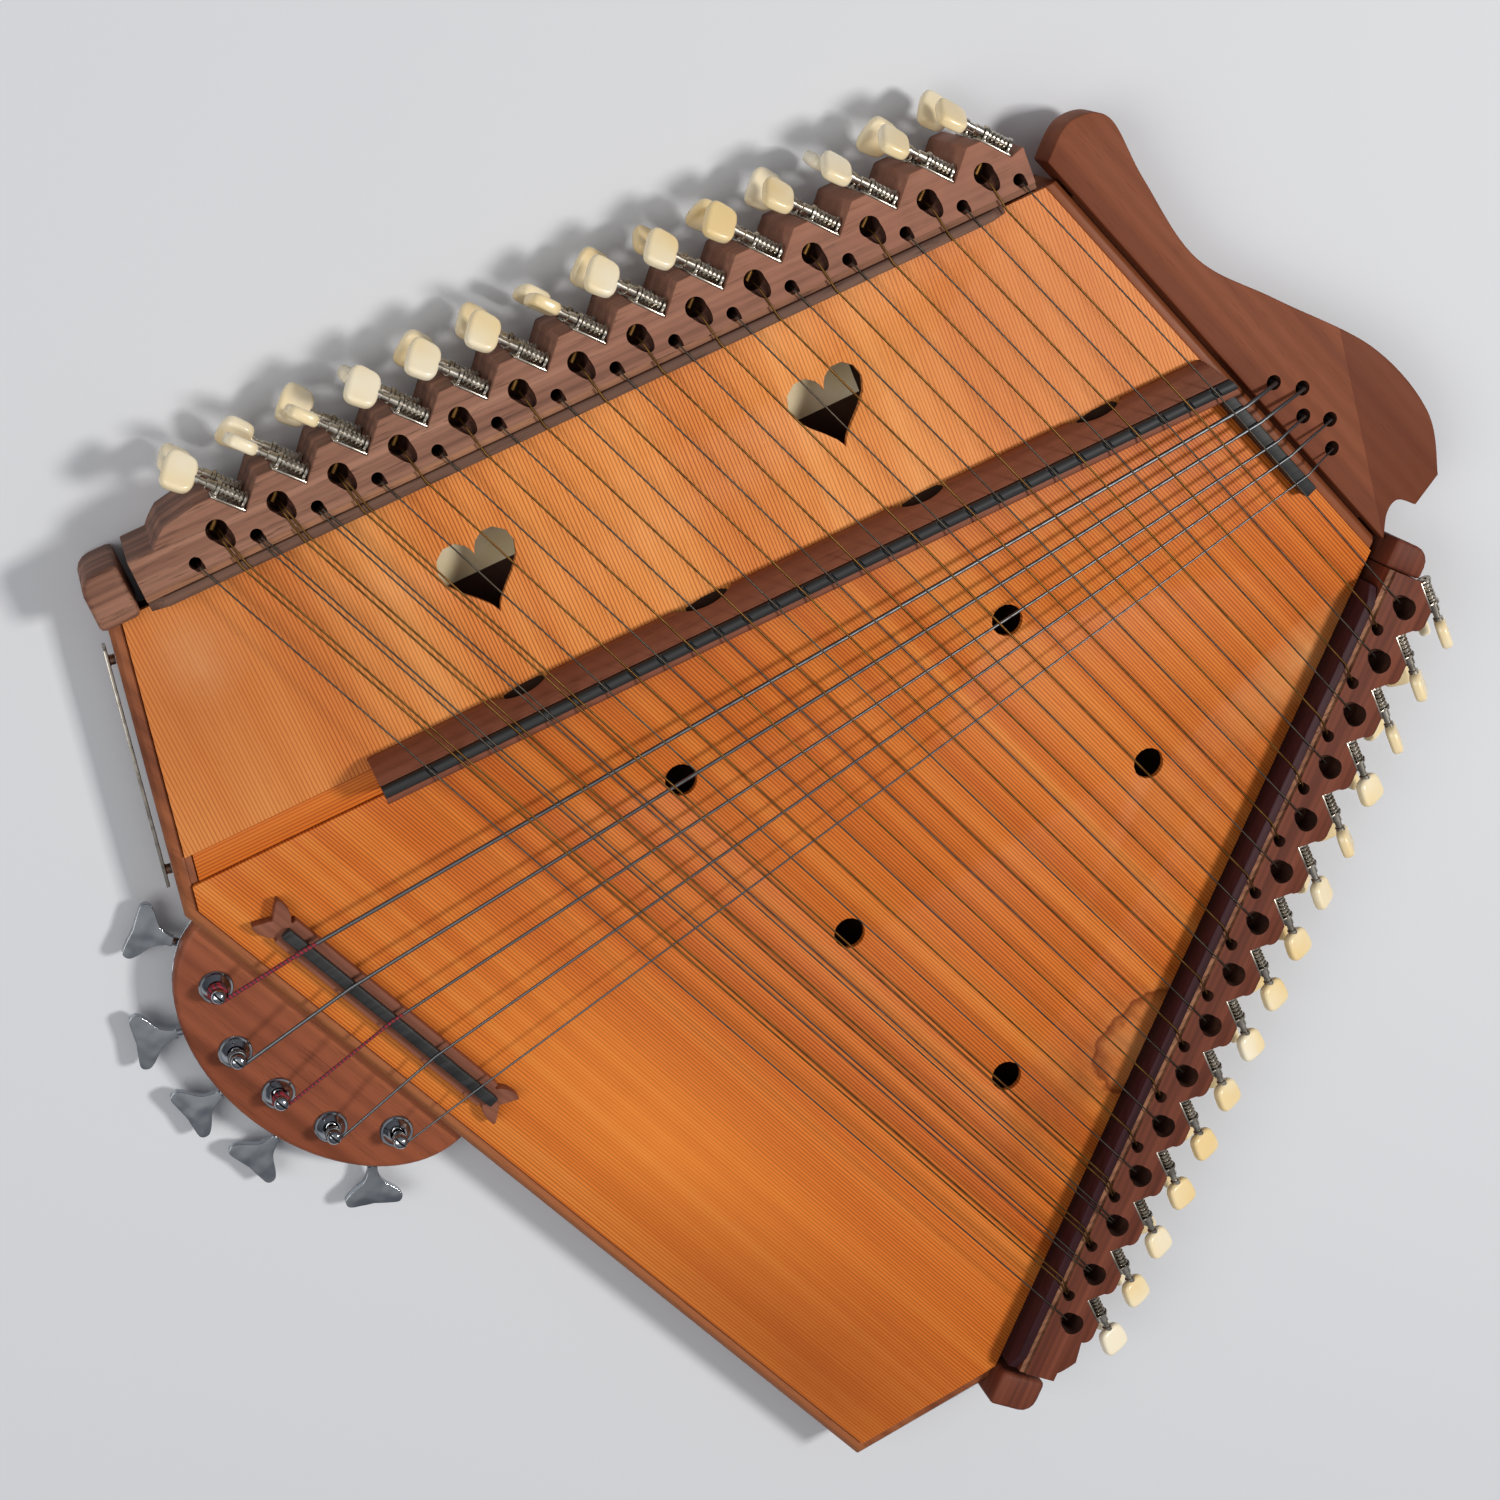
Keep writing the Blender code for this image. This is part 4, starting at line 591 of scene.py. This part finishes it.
def buttonOutline(length, width):  # squarish oval, a little narrower at the shaft
    edge = []
    for i in range(48):
        turn = 2 * math.pi * i / 48
        c, n = math.cos(turn), math.sin(turn)
        grow = (abs(c) ** 3.6 + abs(n) ** 3.6) ** (-1 / 3.6)
        narrow = 0.93 + 0.07 * c * grow
        edge.append((tuner["buttonStart"] + length / 2 * (1 + c * grow), width / 2 * n * grow * narrow))
    return edge


def knobPiece(length, width, thick):  # shaft and button in one
    shaft = lathed("tuner_shaft", wormProfile(), 20)
    bpy.ops.object.shade_smooth_by_angle(angle=math.radians(30))
    shaft.data.materials.append(nickel)
    button = extruded("tuner_button", buttonOutline(length, width), -thick / 2, thick / 2)
    modified(button, "BEVEL", width=thick * 0.37, segments=5, limit_method="ANGLE", angle_limit=math.radians(60))
    bpy.ops.object.shade_smooth_by_angle(angle=math.radians(50))
    button.data.materials.append(cream)
    return joined("tuner_knob", [shaft, button])



def mountingPiece():
    size, out = tuner["plate"], tuner["wormOut"]
    freshStart()
    bpy.ops.mesh.primitive_cube_add(size=1, location=(0, -out + size[1] / 2, 0))
    base = bpy.context.view_layer.objects.active
    base.scale = size
    bpy.ops.object.transform_apply(location=True, rotation=True, scale=True)
    softEdges(base, 0.0004)
    parts = [base]
    for at in (-tuner["earAt"], tuner["earAt"]):
        freshStart()
        bpy.ops.mesh.primitive_cube_add(size=1, location=(at, -out / 2 + 0.0003, 0))
        web = bpy.context.view_layer.objects.active
        web.scale = (tuner["earT"], out, tuner["earR"] * 1.9)
        bpy.ops.object.transform_apply(location=True, rotation=True, scale=True)
        parts.append(softEdges(web, 0.0003))
        hoop = lathed("ear", ((at - tuner["earT"] / 2, tuner["shaftR"] + 0.0003), (at - tuner["earT"] / 2, tuner["earR"]),
                              (at + tuner["earT"] / 2, tuner["earR"]), (at + tuner["earT"] / 2, tuner["shaftR"] + 0.0003)), 20)
        bpy.ops.object.shade_smooth_by_angle(angle=math.radians(30))
        parts.append(hoop)
    for across in (-0.0078, 0.0078):  # screws that hold the plate
        freshStart()
        bpy.ops.mesh.primitive_uv_sphere_add(segments=12, ring_count=8, radius=0.0014, location=(across, -out + size[1], -0.0048))
        screw = bpy.context.view_layer.objects.active
        bpy.ops.object.transform_apply(location=True, rotation=True, scale=True)
        bpy.ops.object.shade_smooth()
        parts.append(screw)
    return joined("tuner_mounting", parts)


mounting = mountingPiece()
mounting.data.materials.append(nickel)
joints = {joint["name"]: joint for joint in frame["joints"]}


def tunerPlace(joint, turn=0.0, drop=0.0):
    along = Vector(joint["axis"]).normalized()
    side = -1 if joint["name"].startswith("left") else 1
    outward = up.cross(along) * side
    turnedAxes = Matrix((along, outward, along.cross(outward))).transposed().to_4x4()
    return Matrix.Translation(Vector(joint["pos_m"]) - up * drop) @ turnedAxes @ Matrix.Rotation(turn, 4, "X")


for word in ("left", "right"):
    knob = knobPiece(*tuner["button"][word])
    still = []
    for name, joint in joints.items():
        if not name.startswith(word + "_tuner"):
            continue
        number = int(name.split("_")[2])
        node = f"{word}_tuner_knob_{number:02d}"
        turn = math.radians(tuner["turns"][word][number - 1])
        dressed(copied(knob, node + "_finished", tunerPlace(joint, turn)), cream, node, node)
        still.append(copied(mounting, "mounting", tunerPlace(joint)))
        still.append(copied(mounting, "mounting", tunerPlace(joint, 0.0, tuner["rowStep"])))
        lowTurn = math.radians((number * 67) % 180)  # the lower buttons stand at odd angles
        still.append(copied(knob, "lowerKnob", tunerPlace(joint, lowTurn, tuner["rowStep"])))
    dressed(joined(word + "_tuner_fittings", still), nickel)
    bpy.data.objects.remove(knob, do_unlink=True)
bpy.data.objects.remove(mounting, do_unlink=True)

# Rollers across the left rail's big holes, wrapped in their strings' ends
roller = {"length": 0.0078, "core": 0.0013, "wrap": 0.0018, "turns": 8, "drop": 0.0070, "shift": 0.0026}
wraps = [(-roller["length"] / 2, 0.0)]
for i in range(roller["turns"]):
    a, step = -roller["length"] / 2 + i * roller["length"] / roller["turns"], roller["length"] / roller["turns"]
    wraps += [(a, roller["core"]), (a + step * 0.5, roller["wrap"])]
wraps += [(roller["length"] / 2, roller["core"]), (roller["length"] / 2, 0.0)]
coilModel = lathed("roller", wraps, 16)
bpy.ops.object.shade_smooth()
coils = []
outward = onRail(-1, 0, -1) - onRail(-1, 0, 0)
facing = Matrix.Rotation(math.atan2(outward.y, outward.x) - math.radians(48), 4, "Z")
for place in bigHoles(-1):
    spot = place + outward * roller["shift"] + up * (plan["railTop"] - roller["drop"])
    coils.append(copied(coilModel, "roller", Matrix.Translation(spot) @ facing))
bpy.data.objects.remove(coilModel, do_unlink=True)
dressed(joined("tuner_rollers", coils), bronze)
print("tuners dressed")

# Treble saddle and strings
saddle = {"near": 0.1653, "far": 0.1721, "low": 0.0643, "top": 0.0735, "front": 0.0181, "backY": 0.3057, "slot": 0.0011}
strings = {"plain": 0.00050, "wound": 0.00060, "pairs": (1, 2, 3, 4, 5), "pairStep": 0.0030, "z": 0.0627}


def saddlePiece():
    crown = (saddle["far"] - saddle["near"]) / 2
    middle = (saddle["near"] + saddle["far"]) / 2
    section = [(saddle["near"], saddle["low"]), (saddle["far"], saddle["low"])]
    for i in range(9):  # rounded crown
        turn = math.pi * i / 8
        section.append((middle + crown * math.cos(turn), saddle["top"] - 0.0025 + 0.0025 * math.sin(turn)))
    count = len(section)
    ends = [[onRail(-1, saddle["front"], t) + up * z for t, z in section], [onRailAtY(-1, saddle["backY"], t) + up * z for t, z in section]]
    faces = [[i, (i + 1) % count, count + (i + 1) % count, count + i] for i in range(count)]
    piece = drawn("treble_saddle_bar", ends[0] + ends[1], faces + [list(range(count))[::-1], list(range(count, 2 * count))])
    bpy.ops.object.mode_set(mode="EDIT")
    bpy.ops.mesh.select_all(action="SELECT")
    bpy.ops.mesh.normals_make_consistent(inside=False)
    bpy.ops.object.mode_set(mode="OBJECT")
    return piece


def holeOf(side, course):
    half, odd = divmod(course, 2)
    if bool(odd) == (side == -1):
        return onRail(side, half * plan["pitch"], 0), rail["bigHole"][side], rail["bigDepth"]
    return onRail(side, (half + 0.5 * side) * plan["pitch"], plan["smallHoleIn"]), rail["smallHole"], rail["smallDepth"]


def stringHalf(side, course, y, spread):
    hole, radius, depth = holeOf(side, course)
    hole.y += spread / 2
    overNut = onRailAtY(side, y + spread, (plan["railIn"] + plan["nutIn"]) / 2)
    overRim = hole + (overNut - hole).normalized() * (radius - 0.0012)
    return [hole + up * (plan["railTop"] - depth + 0.0008), overRim + up * (strings["z"] - 0.0012), overRim.lerp(overNut, 0.12) + up * strings["z"],
            overNut + up * strings["z"]]


crestT = (saddle["near"] + saddle["far"]) / 2
plainRoutes, woundRoutes = [], []
slots = []
for course in range(29):
    y = rightHoleY + course * courseStep
    spreads = (-strings["pairStep"] / 2, strings["pairStep"] / 2) if course in strings["pairs"] else (0.0,)
    for spread in spreads:
        crest = onRailAtY(-1, y + spread, crestT) + up * (saddle["top"] + 0.0002)
        route = stringHalf(-1, course, y, spread) + [crest] + stringHalf(1, course, y, spread)[::-1]
        (woundRoutes if course % 2 else plainRoutes).append(route)
    for spread in (-strings["pairStep"] / 2, strings["pairStep"] / 2):  # two slots at every course
        freshStart()
        bpy.ops.mesh.primitive_cube_add(size=1, location=onRailAtY(-1, y + spread, crestT) + up * saddle["top"])
        notch = bpy.context.view_layer.objects.active
        notch.scale = (0.016, saddle["slot"], 0.0036)
        bpy.ops.object.transform_apply(location=True, rotation=True, scale=True)
        slots.append(notch)
saddleBar = softEdges(saddlePiece(), 0.0003)
saddleBar.data.materials.append(ebony)
cutAway(saddleBar, slots, ebony)
pick(saddleBar)
bpy.ops.object.shade_smooth_by_angle(angle=math.radians(35))
dressed(saddleBar, ebony, "body", "treble_saddle")
dressed(strung("plain_strings", plainRoutes, strings["plain"]), steel)
dressed(strung("wound_strings", woundRoutes, strings["wound"]), bronze)
print("treble strings laid")

# Bass bank: posts, keys, bushings, saddle and strings
bass = {"posts": [joints[f"bass_post_{k}_turn"]["pos_m"] for k in range(1, 6)], "headTop": 0.030, "bushR": 0.0098, "bushH": 0.0044,
        "postR": 0.0030, "postTop": 0.0447, "capR": 0.0044, "domeH": 0.0030, "stringR": (0.0013, 0.0011, 0.0009, 0.0008, 0.0006),
        "turns": 2, "wheelLow": 0.009, "wheelTop": 0.015, "wheelR": 0.009, "shankR": 0.0042}
barrel = [(bass["wheelLow"], 0.0), (bass["wheelLow"], bass["wheelR"]), (bass["wheelTop"], bass["wheelR"]), (bass["wheelTop"], bass["shankR"]),
          (bass["headTop"] + 0.0022, bass["shankR"]), (bass["headTop"] + 0.0028, bass["postR"]), (bass["postTop"], bass["postR"]),
          (bass["postTop"] + 0.0002, bass["capR"])]
barrel += [(bass["postTop"] + 0.0006 + bass["domeH"] * math.sin(a), bass["capR"] * math.cos(a)) for a in (math.pi / 2 * i / 7 for i in range(8))]
collarProfile = [(bass["headTop"] - 0.001, bass["shankR"] + 0.0003), (bass["headTop"] - 0.001, bass["bushR"]),
                 (bass["headTop"] + 0.0011, bass["bushR"]), (bass["headTop"] + 0.0016, bass["bushR"] - 0.0005),
                 (bass["headTop"] + 0.0016, bass["bushR"] - 0.0016), (bass["headTop"] + bass["bushH"], bass["shankR"] + 0.0012),
                 (bass["headTop"] + bass["bushH"], bass["shankR"] + 0.0003)]
upright = Matrix.Rotation(-math.pi / 2, 4, "Y")
post = placed(lathed("post", barrel, 28), upright)
bpy.ops.object.shade_smooth_by_angle(angle=math.radians(30))
freshStart()
bpy.ops.mesh.primitive_cube_add(size=1, location=(0, 0, bass["postTop"] + bass["domeH"]))
slotTool = bpy.context.view_layer.objects.active
slotTool.scale = (0.012, 0.0011, 0.0030)
bpy.ops.object.transform_apply(location=True, rotation=True, scale=True)
post.data.materials.append(chrome)
# the slot's faces take black ebony as painted shade inside the slot
cutAway(post, [slotTool], ebony)
pick(post)
bpy.ops.object.shade_smooth_by_angle(angle=math.radians(30))
collar = placed(lathed("collar", collarProfile, 32), upright)
bpy.ops.object.shade_smooth_by_angle(angle=math.radians(30))

# Head: half-round board with a rounded edge, bored for the posts; the keys' bearings hang below it
head = {"x": -0.1145, "backY": -0.3143, "half": 0.104, "reach": 0.070, "low": 0.016, "round": 0.0036}
headEdge = [(head["x"] - head["half"] * math.cos(a), head["backY"] - head["reach"] * math.sin(a)) for a in (math.pi * i / 44 for i in range(45))]
headBoard = extruded("bass_head_wood", headEdge, head["low"], bass["headTop"])
corners = headBoard.data.vertices
for edge in headBoard.data.edges:  # round the curved rim above and below, leaving the back square
    a, b = [corners[v].co for v in edge.vertices]
    edge.select = abs(a.z - b.z) < 0.0001 and (a.y + b.y) / 2 < head["backY"] - 0.0005
for piece in (*headBoard.data.vertices, *headBoard.data.polygons):
    piece.select = False
bpy.context.tool_settings.mesh_select_mode = (False, True, False)
pick(headBoard)
bpy.ops.object.mode_set(mode="EDIT")
bpy.ops.mesh.bevel(offset=head["round"], segments=4, affect="EDGES")
bpy.ops.object.mode_set(mode="OBJECT")
bpy.context.tool_settings.mesh_select_mode = (True, False, False)
headBoard.data.materials.append(headMahogany)
freshStart()
cutAway(headBoard, [drill(Vector((*place[:2], bass["headTop"])), bass["shankR"] + 0.0003, 0.02) for place in bass["posts"]], cutWoodAndShade)
pick(headBoard)
bpy.ops.object.shade_smooth_by_angle(angle=math.radians(35))
dressed(headBoard, headMahogany, "body", "bass_head")
bearings = copyOfPart("bass_head", "bass_key_bearings")
bpy.ops.object.mode_set(mode="EDIT")
bpy.ops.mesh.select_all(action="SELECT")
bpy.ops.mesh.bisect(plane_co=(0, 0, head["low"] + 0.0003), plane_no=(0, 0, 1), clear_outer=True, use_fill=True)
bpy.ops.object.mode_set(mode="OBJECT")
dressed(softEdges(bearings, 0.0004), chrome)

# Keys: a shaft with its worm, and a smooth two-lobed paddle
keyForm = {"at": 0.030, "length": 0.0250, "half": 0.0168, "thick": 0.0052, "wormR": 0.0034, "shaftR": 0.0026, "wormEnd": 0.0057,
       "lug": 0.0103, "form": ((-0.05, 0.17), (0.10, 0.19), (0.34, 0.36), (0.60, 0.84), (0.76, 1.0), (0.92, 0.88), (0.92, 0.45), (0.89, 0.0))}


halfPaddle = smoothLine([(keyForm["at"] + a * keyForm["length"], b * keyForm["half"]) for a, b in keyForm["form"]], 7)
paddle = extruded("paddle", halfPaddle + [Vector((p.x, -p.y)) for p in halfPaddle[-2::-1]], -keyForm["thick"] / 2, keyForm["thick"] / 2)
modified(paddle, "BEVEL", width=0.0021, segments=4, limit_method="ANGLE", angle_limit=math.radians(60))
bpy.ops.object.shade_smooth_by_angle(angle=math.radians(60))
stem = lathed("stem", ((-keyForm["wormEnd"], 0.0), (-keyForm["wormEnd"], keyForm["wormR"]), (keyForm["wormEnd"], keyForm["wormR"]), (keyForm["wormEnd"], keyForm["shaftR"]),
                       (keyForm["lug"], keyForm["shaftR"]), (keyForm["lug"], keyForm["wormR"] + 0.0008), (keyForm["lug"] + 0.004, keyForm["wormR"] + 0.0008),
                       (keyForm["lug"] + 0.006, keyForm["shaftR"]), (keyForm["at"] + 0.004, keyForm["shaftR"]), (keyForm["at"] + 0.004, 0.0)), 24)
bpy.ops.object.shade_smooth_by_angle(angle=math.radians(30))
keyModel = joined("key", [paddle, stem])
for k, place in enumerate(bass["posts"], 1):
    spot = Matrix.Translation((place[0], place[1], 0))
    dressed(copied(post, f"bass_post_{k}_turned", spot), chrome, f"bass_post_{k}", f"bass_post_{k}")
    dressed(copied(collar, f"bass_bushing_{k}", spot), chrome)
    turnJoint = joints[f"bass_key_{k}_turn"]
    along = Vector(turnJoint["axis"]).normalized()
    axes = Matrix((along, up.cross(along), up)).transposed().to_4x4()
    castKey = copied(keyModel, f"bass_key_{k}_cast", Matrix.Translation(turnJoint["pos_m"]) @ axes)
    dressed(castKey, chrome, f"bass_key_{k}", f"bass_key_{k}")
for model in (post, collar, keyModel):
    bpy.data.objects.remove(model, do_unlink=True)

bassRun = {"bridgeY": -0.2827, "bridgeX": -0.1044, "crossings": (-0.0672, -0.0320, 0.0, 0.0340, 0.0670), "crest": 0.0566, "seat": 0.0511,
           "saddleL": 0.163, "saddleW": 0.0068, "nutBackY": 0.3059, "nutTop": 0.0528}
# Bass bridge: a flat board with two carved petals at each end
bassBridge = {"middle": -0.1060, "body": (0.0790, 0.0086), "low": 0.0423, "top": 0.0507, "easing": 0.0011,
              "petal": ((0.0800, 0.0058), (0.0832, 0.0088), (0.0885, 0.0106), (0.0945, 0.0104), (0.0925, 0.0060), (0.0885, 0.0000))}
bodyX, bodyY = bassBridge["body"]
petal = smoothLine(bassBridge["petal"], 6)
quarter = [Vector((0, bodyY)), Vector((bodyX, bodyY)), Vector((bodyX, 0.0060))] + petal
rightEnd = quarter + [Vector((p.x, -p.y)) for p in quarter[-2::-1]]
bridgeEdge = rightEnd[:-1] + [Vector((-p.x, p.y)) for p in rightEnd[:0:-1]]
bridgeBoard = extruded("bass_bridge_wood", [(bassBridge["middle"] + p.x, bassRun["bridgeY"] + p.y) for p in bridgeEdge],
                       bassBridge["low"], bassBridge["top"])
dressed(softEdges(bridgeBoard, bassBridge["easing"], 3, 50), bassBridgeMahogany, "body", "bass_bridge")
freshStart()
bpy.ops.mesh.primitive_cube_add(size=1, location=(bassRun["bridgeX"], bassRun["bridgeY"], (bassRun["seat"] + bassRun["crest"]) / 2))
bassBar = bpy.context.view_layer.objects.active
bassBar.name = "bass_saddle_bar"
bassBar.scale = (bassRun["saddleL"], bassRun["saddleW"], bassRun["crest"] - bassRun["seat"])
bpy.ops.object.transform_apply(location=True, rotation=True, scale=True)
dressed(softEdges(bassBar, 0.0012, 3), ebony, "body", "bass_saddle")
for k in range(5):
    radius = bass["stringR"][k]
    centre = Vector((*bass["posts"][k][:2], 0))
    crest = Vector((bassRun["bridgeX"] + bassRun["crossings"][k], bassRun["bridgeY"], bassRun["crest"] + radius * 0.6))
    anchor = Vector((*wing["anchors"][k], wing["top"]))
    windR = bass["postR"] + 0.0002 + radius
    reach = (crest - centre).xy
    leave = math.atan2(reach.y, reach.x) - math.acos(windR / reach.length)
    coil = []
    for i in range(bass["turns"] * 32 + 1):  # round the post from below, leaving towards the saddle
        back = bass["turns"] - i / 32
        turn = leave - 2 * math.pi * back
        level = bass["postTop"] - radius - 0.0008 - back * (2 * radius + 0.0004)
        coil.append(Vector((centre.x + windR * math.cos(turn), centre.y + windR * math.sin(turn), level)))
    over = crest.lerp(anchor, (bassRun["nutBackY"] - crest.y) / (anchor.y - crest.y))
    over.z = bassRun["nutTop"] + radius
    tail = [over, anchor + up * (radius * 2), anchor - up * 0.018]
    if k in (0, 2):  # red silk from the post to just past the saddle
        silkEnd = crest.lerp(over, 0.012)
        dressed(strung(f"bass_silk_{k + 1}", [coil + [crest, silkEnd]], radius, 3), redSilk)
        dressed(strung(f"bass_string_{k + 1}", [[silkEnd] + tail], radius, 3), woundSteel)
    else:
        dressed(strung(f"bass_string_{k + 1}", [coil + [crest] + tail], radius, 3), woundSteel)
print("bass bank dressed")

# Blank paper label on the back, under the hearts
label = {"s": (0.09, 0.36), "t": (0.045, 0.098), "thick": 0.0002}
labelEdge = [onRail(-1, s, t) for s, t in ((label["s"][0], label["t"][0]), (label["s"][1], label["t"][0]),
                                           (label["s"][1], label["t"][1]), (label["s"][0], label["t"][1]))]
dressed(extruded("paper_label", labelEdge, plan["backPanelTop"] + 0.0002, plan["backPanelTop"] + 0.0002 + label["thick"]), paper)

# Floor, light and camera
freshStart()
bpy.ops.mesh.primitive_plane_add(size=30, location=(0, 0, -0.0005))
floor = bpy.context.view_layer.objects.active
floor.name = "floor"
floorPaint, tree, shader = newMaterial("palePaintedFloor")
shader.inputs["Base Color"].default_value = linear("#D4D7DC")
shader.inputs["Roughness"].default_value = 0.7
floor.data.materials.append(floorPaint)
lamps = {"key": {"from": (1.0, 1.6, 2.9), "size": 0.55, "power": 76, "colour": "#FFFBF6"},
         "fill": {"from": (-1.6, -1.5, 2.4), "size": 2.0, "power": 38, "colour": "#FFFDFA"}}
for name, lamp in lamps.items():
    light = bpy.data.lights.new(name, "AREA")
    light.size = lamp["size"]
    light.energy = lamp["power"]
    light.color = linear(lamp["colour"])[:3]
    holder = bpy.data.objects.new(name, light)
    bpy.context.scene.collection.objects.link(holder)
    holder.location = lamp["from"]
    holder.rotation_euler = (-Vector(lamp["from"])).to_track_quat("-Z", "Y").to_euler()
world = bpy.data.worlds.new("studio")
bpy.context.scene.world = world
world.use_nodes = True
sky = world.node_tree
skyWhere = addNode(sky, "ShaderNodeTexCoord")
skyHeight = addNode(sky, "ShaderNodeSeparateXYZ", links={"Vector": skyWhere.outputs["Generated"]})
skyTint = ramp(sky, skyHeight.outputs["Z"], ((0.0, "#5E6068"), (0.35, "#8F9198"), (0.80, "#BCBEC3"), (0.97, "#FFFFFF")))  # darker low down
sky.links.new(skyTint.outputs["Color"], sky.nodes["Background"].inputs["Color"])
sky.nodes["Background"].inputs["Strength"].default_value = 0.46
view = {"place": (-0.69250, 0.00959, 1.51775), "turn": (-17.65097, -15.70372, 45.69420), "lens": 67.4229}
camera = bpy.data.cameras.new("camera")
camera.sensor_width = 36
camera.lens = view["lens"]
camera.clip_end = 100
eye = bpy.data.objects.new("camera", camera)
bpy.context.scene.collection.objects.link(eye)
eye.location = view["place"]
eye.rotation_euler = [math.radians(a) for a in view["turn"]]
bpy.context.scene.camera = eye
print("stage set")
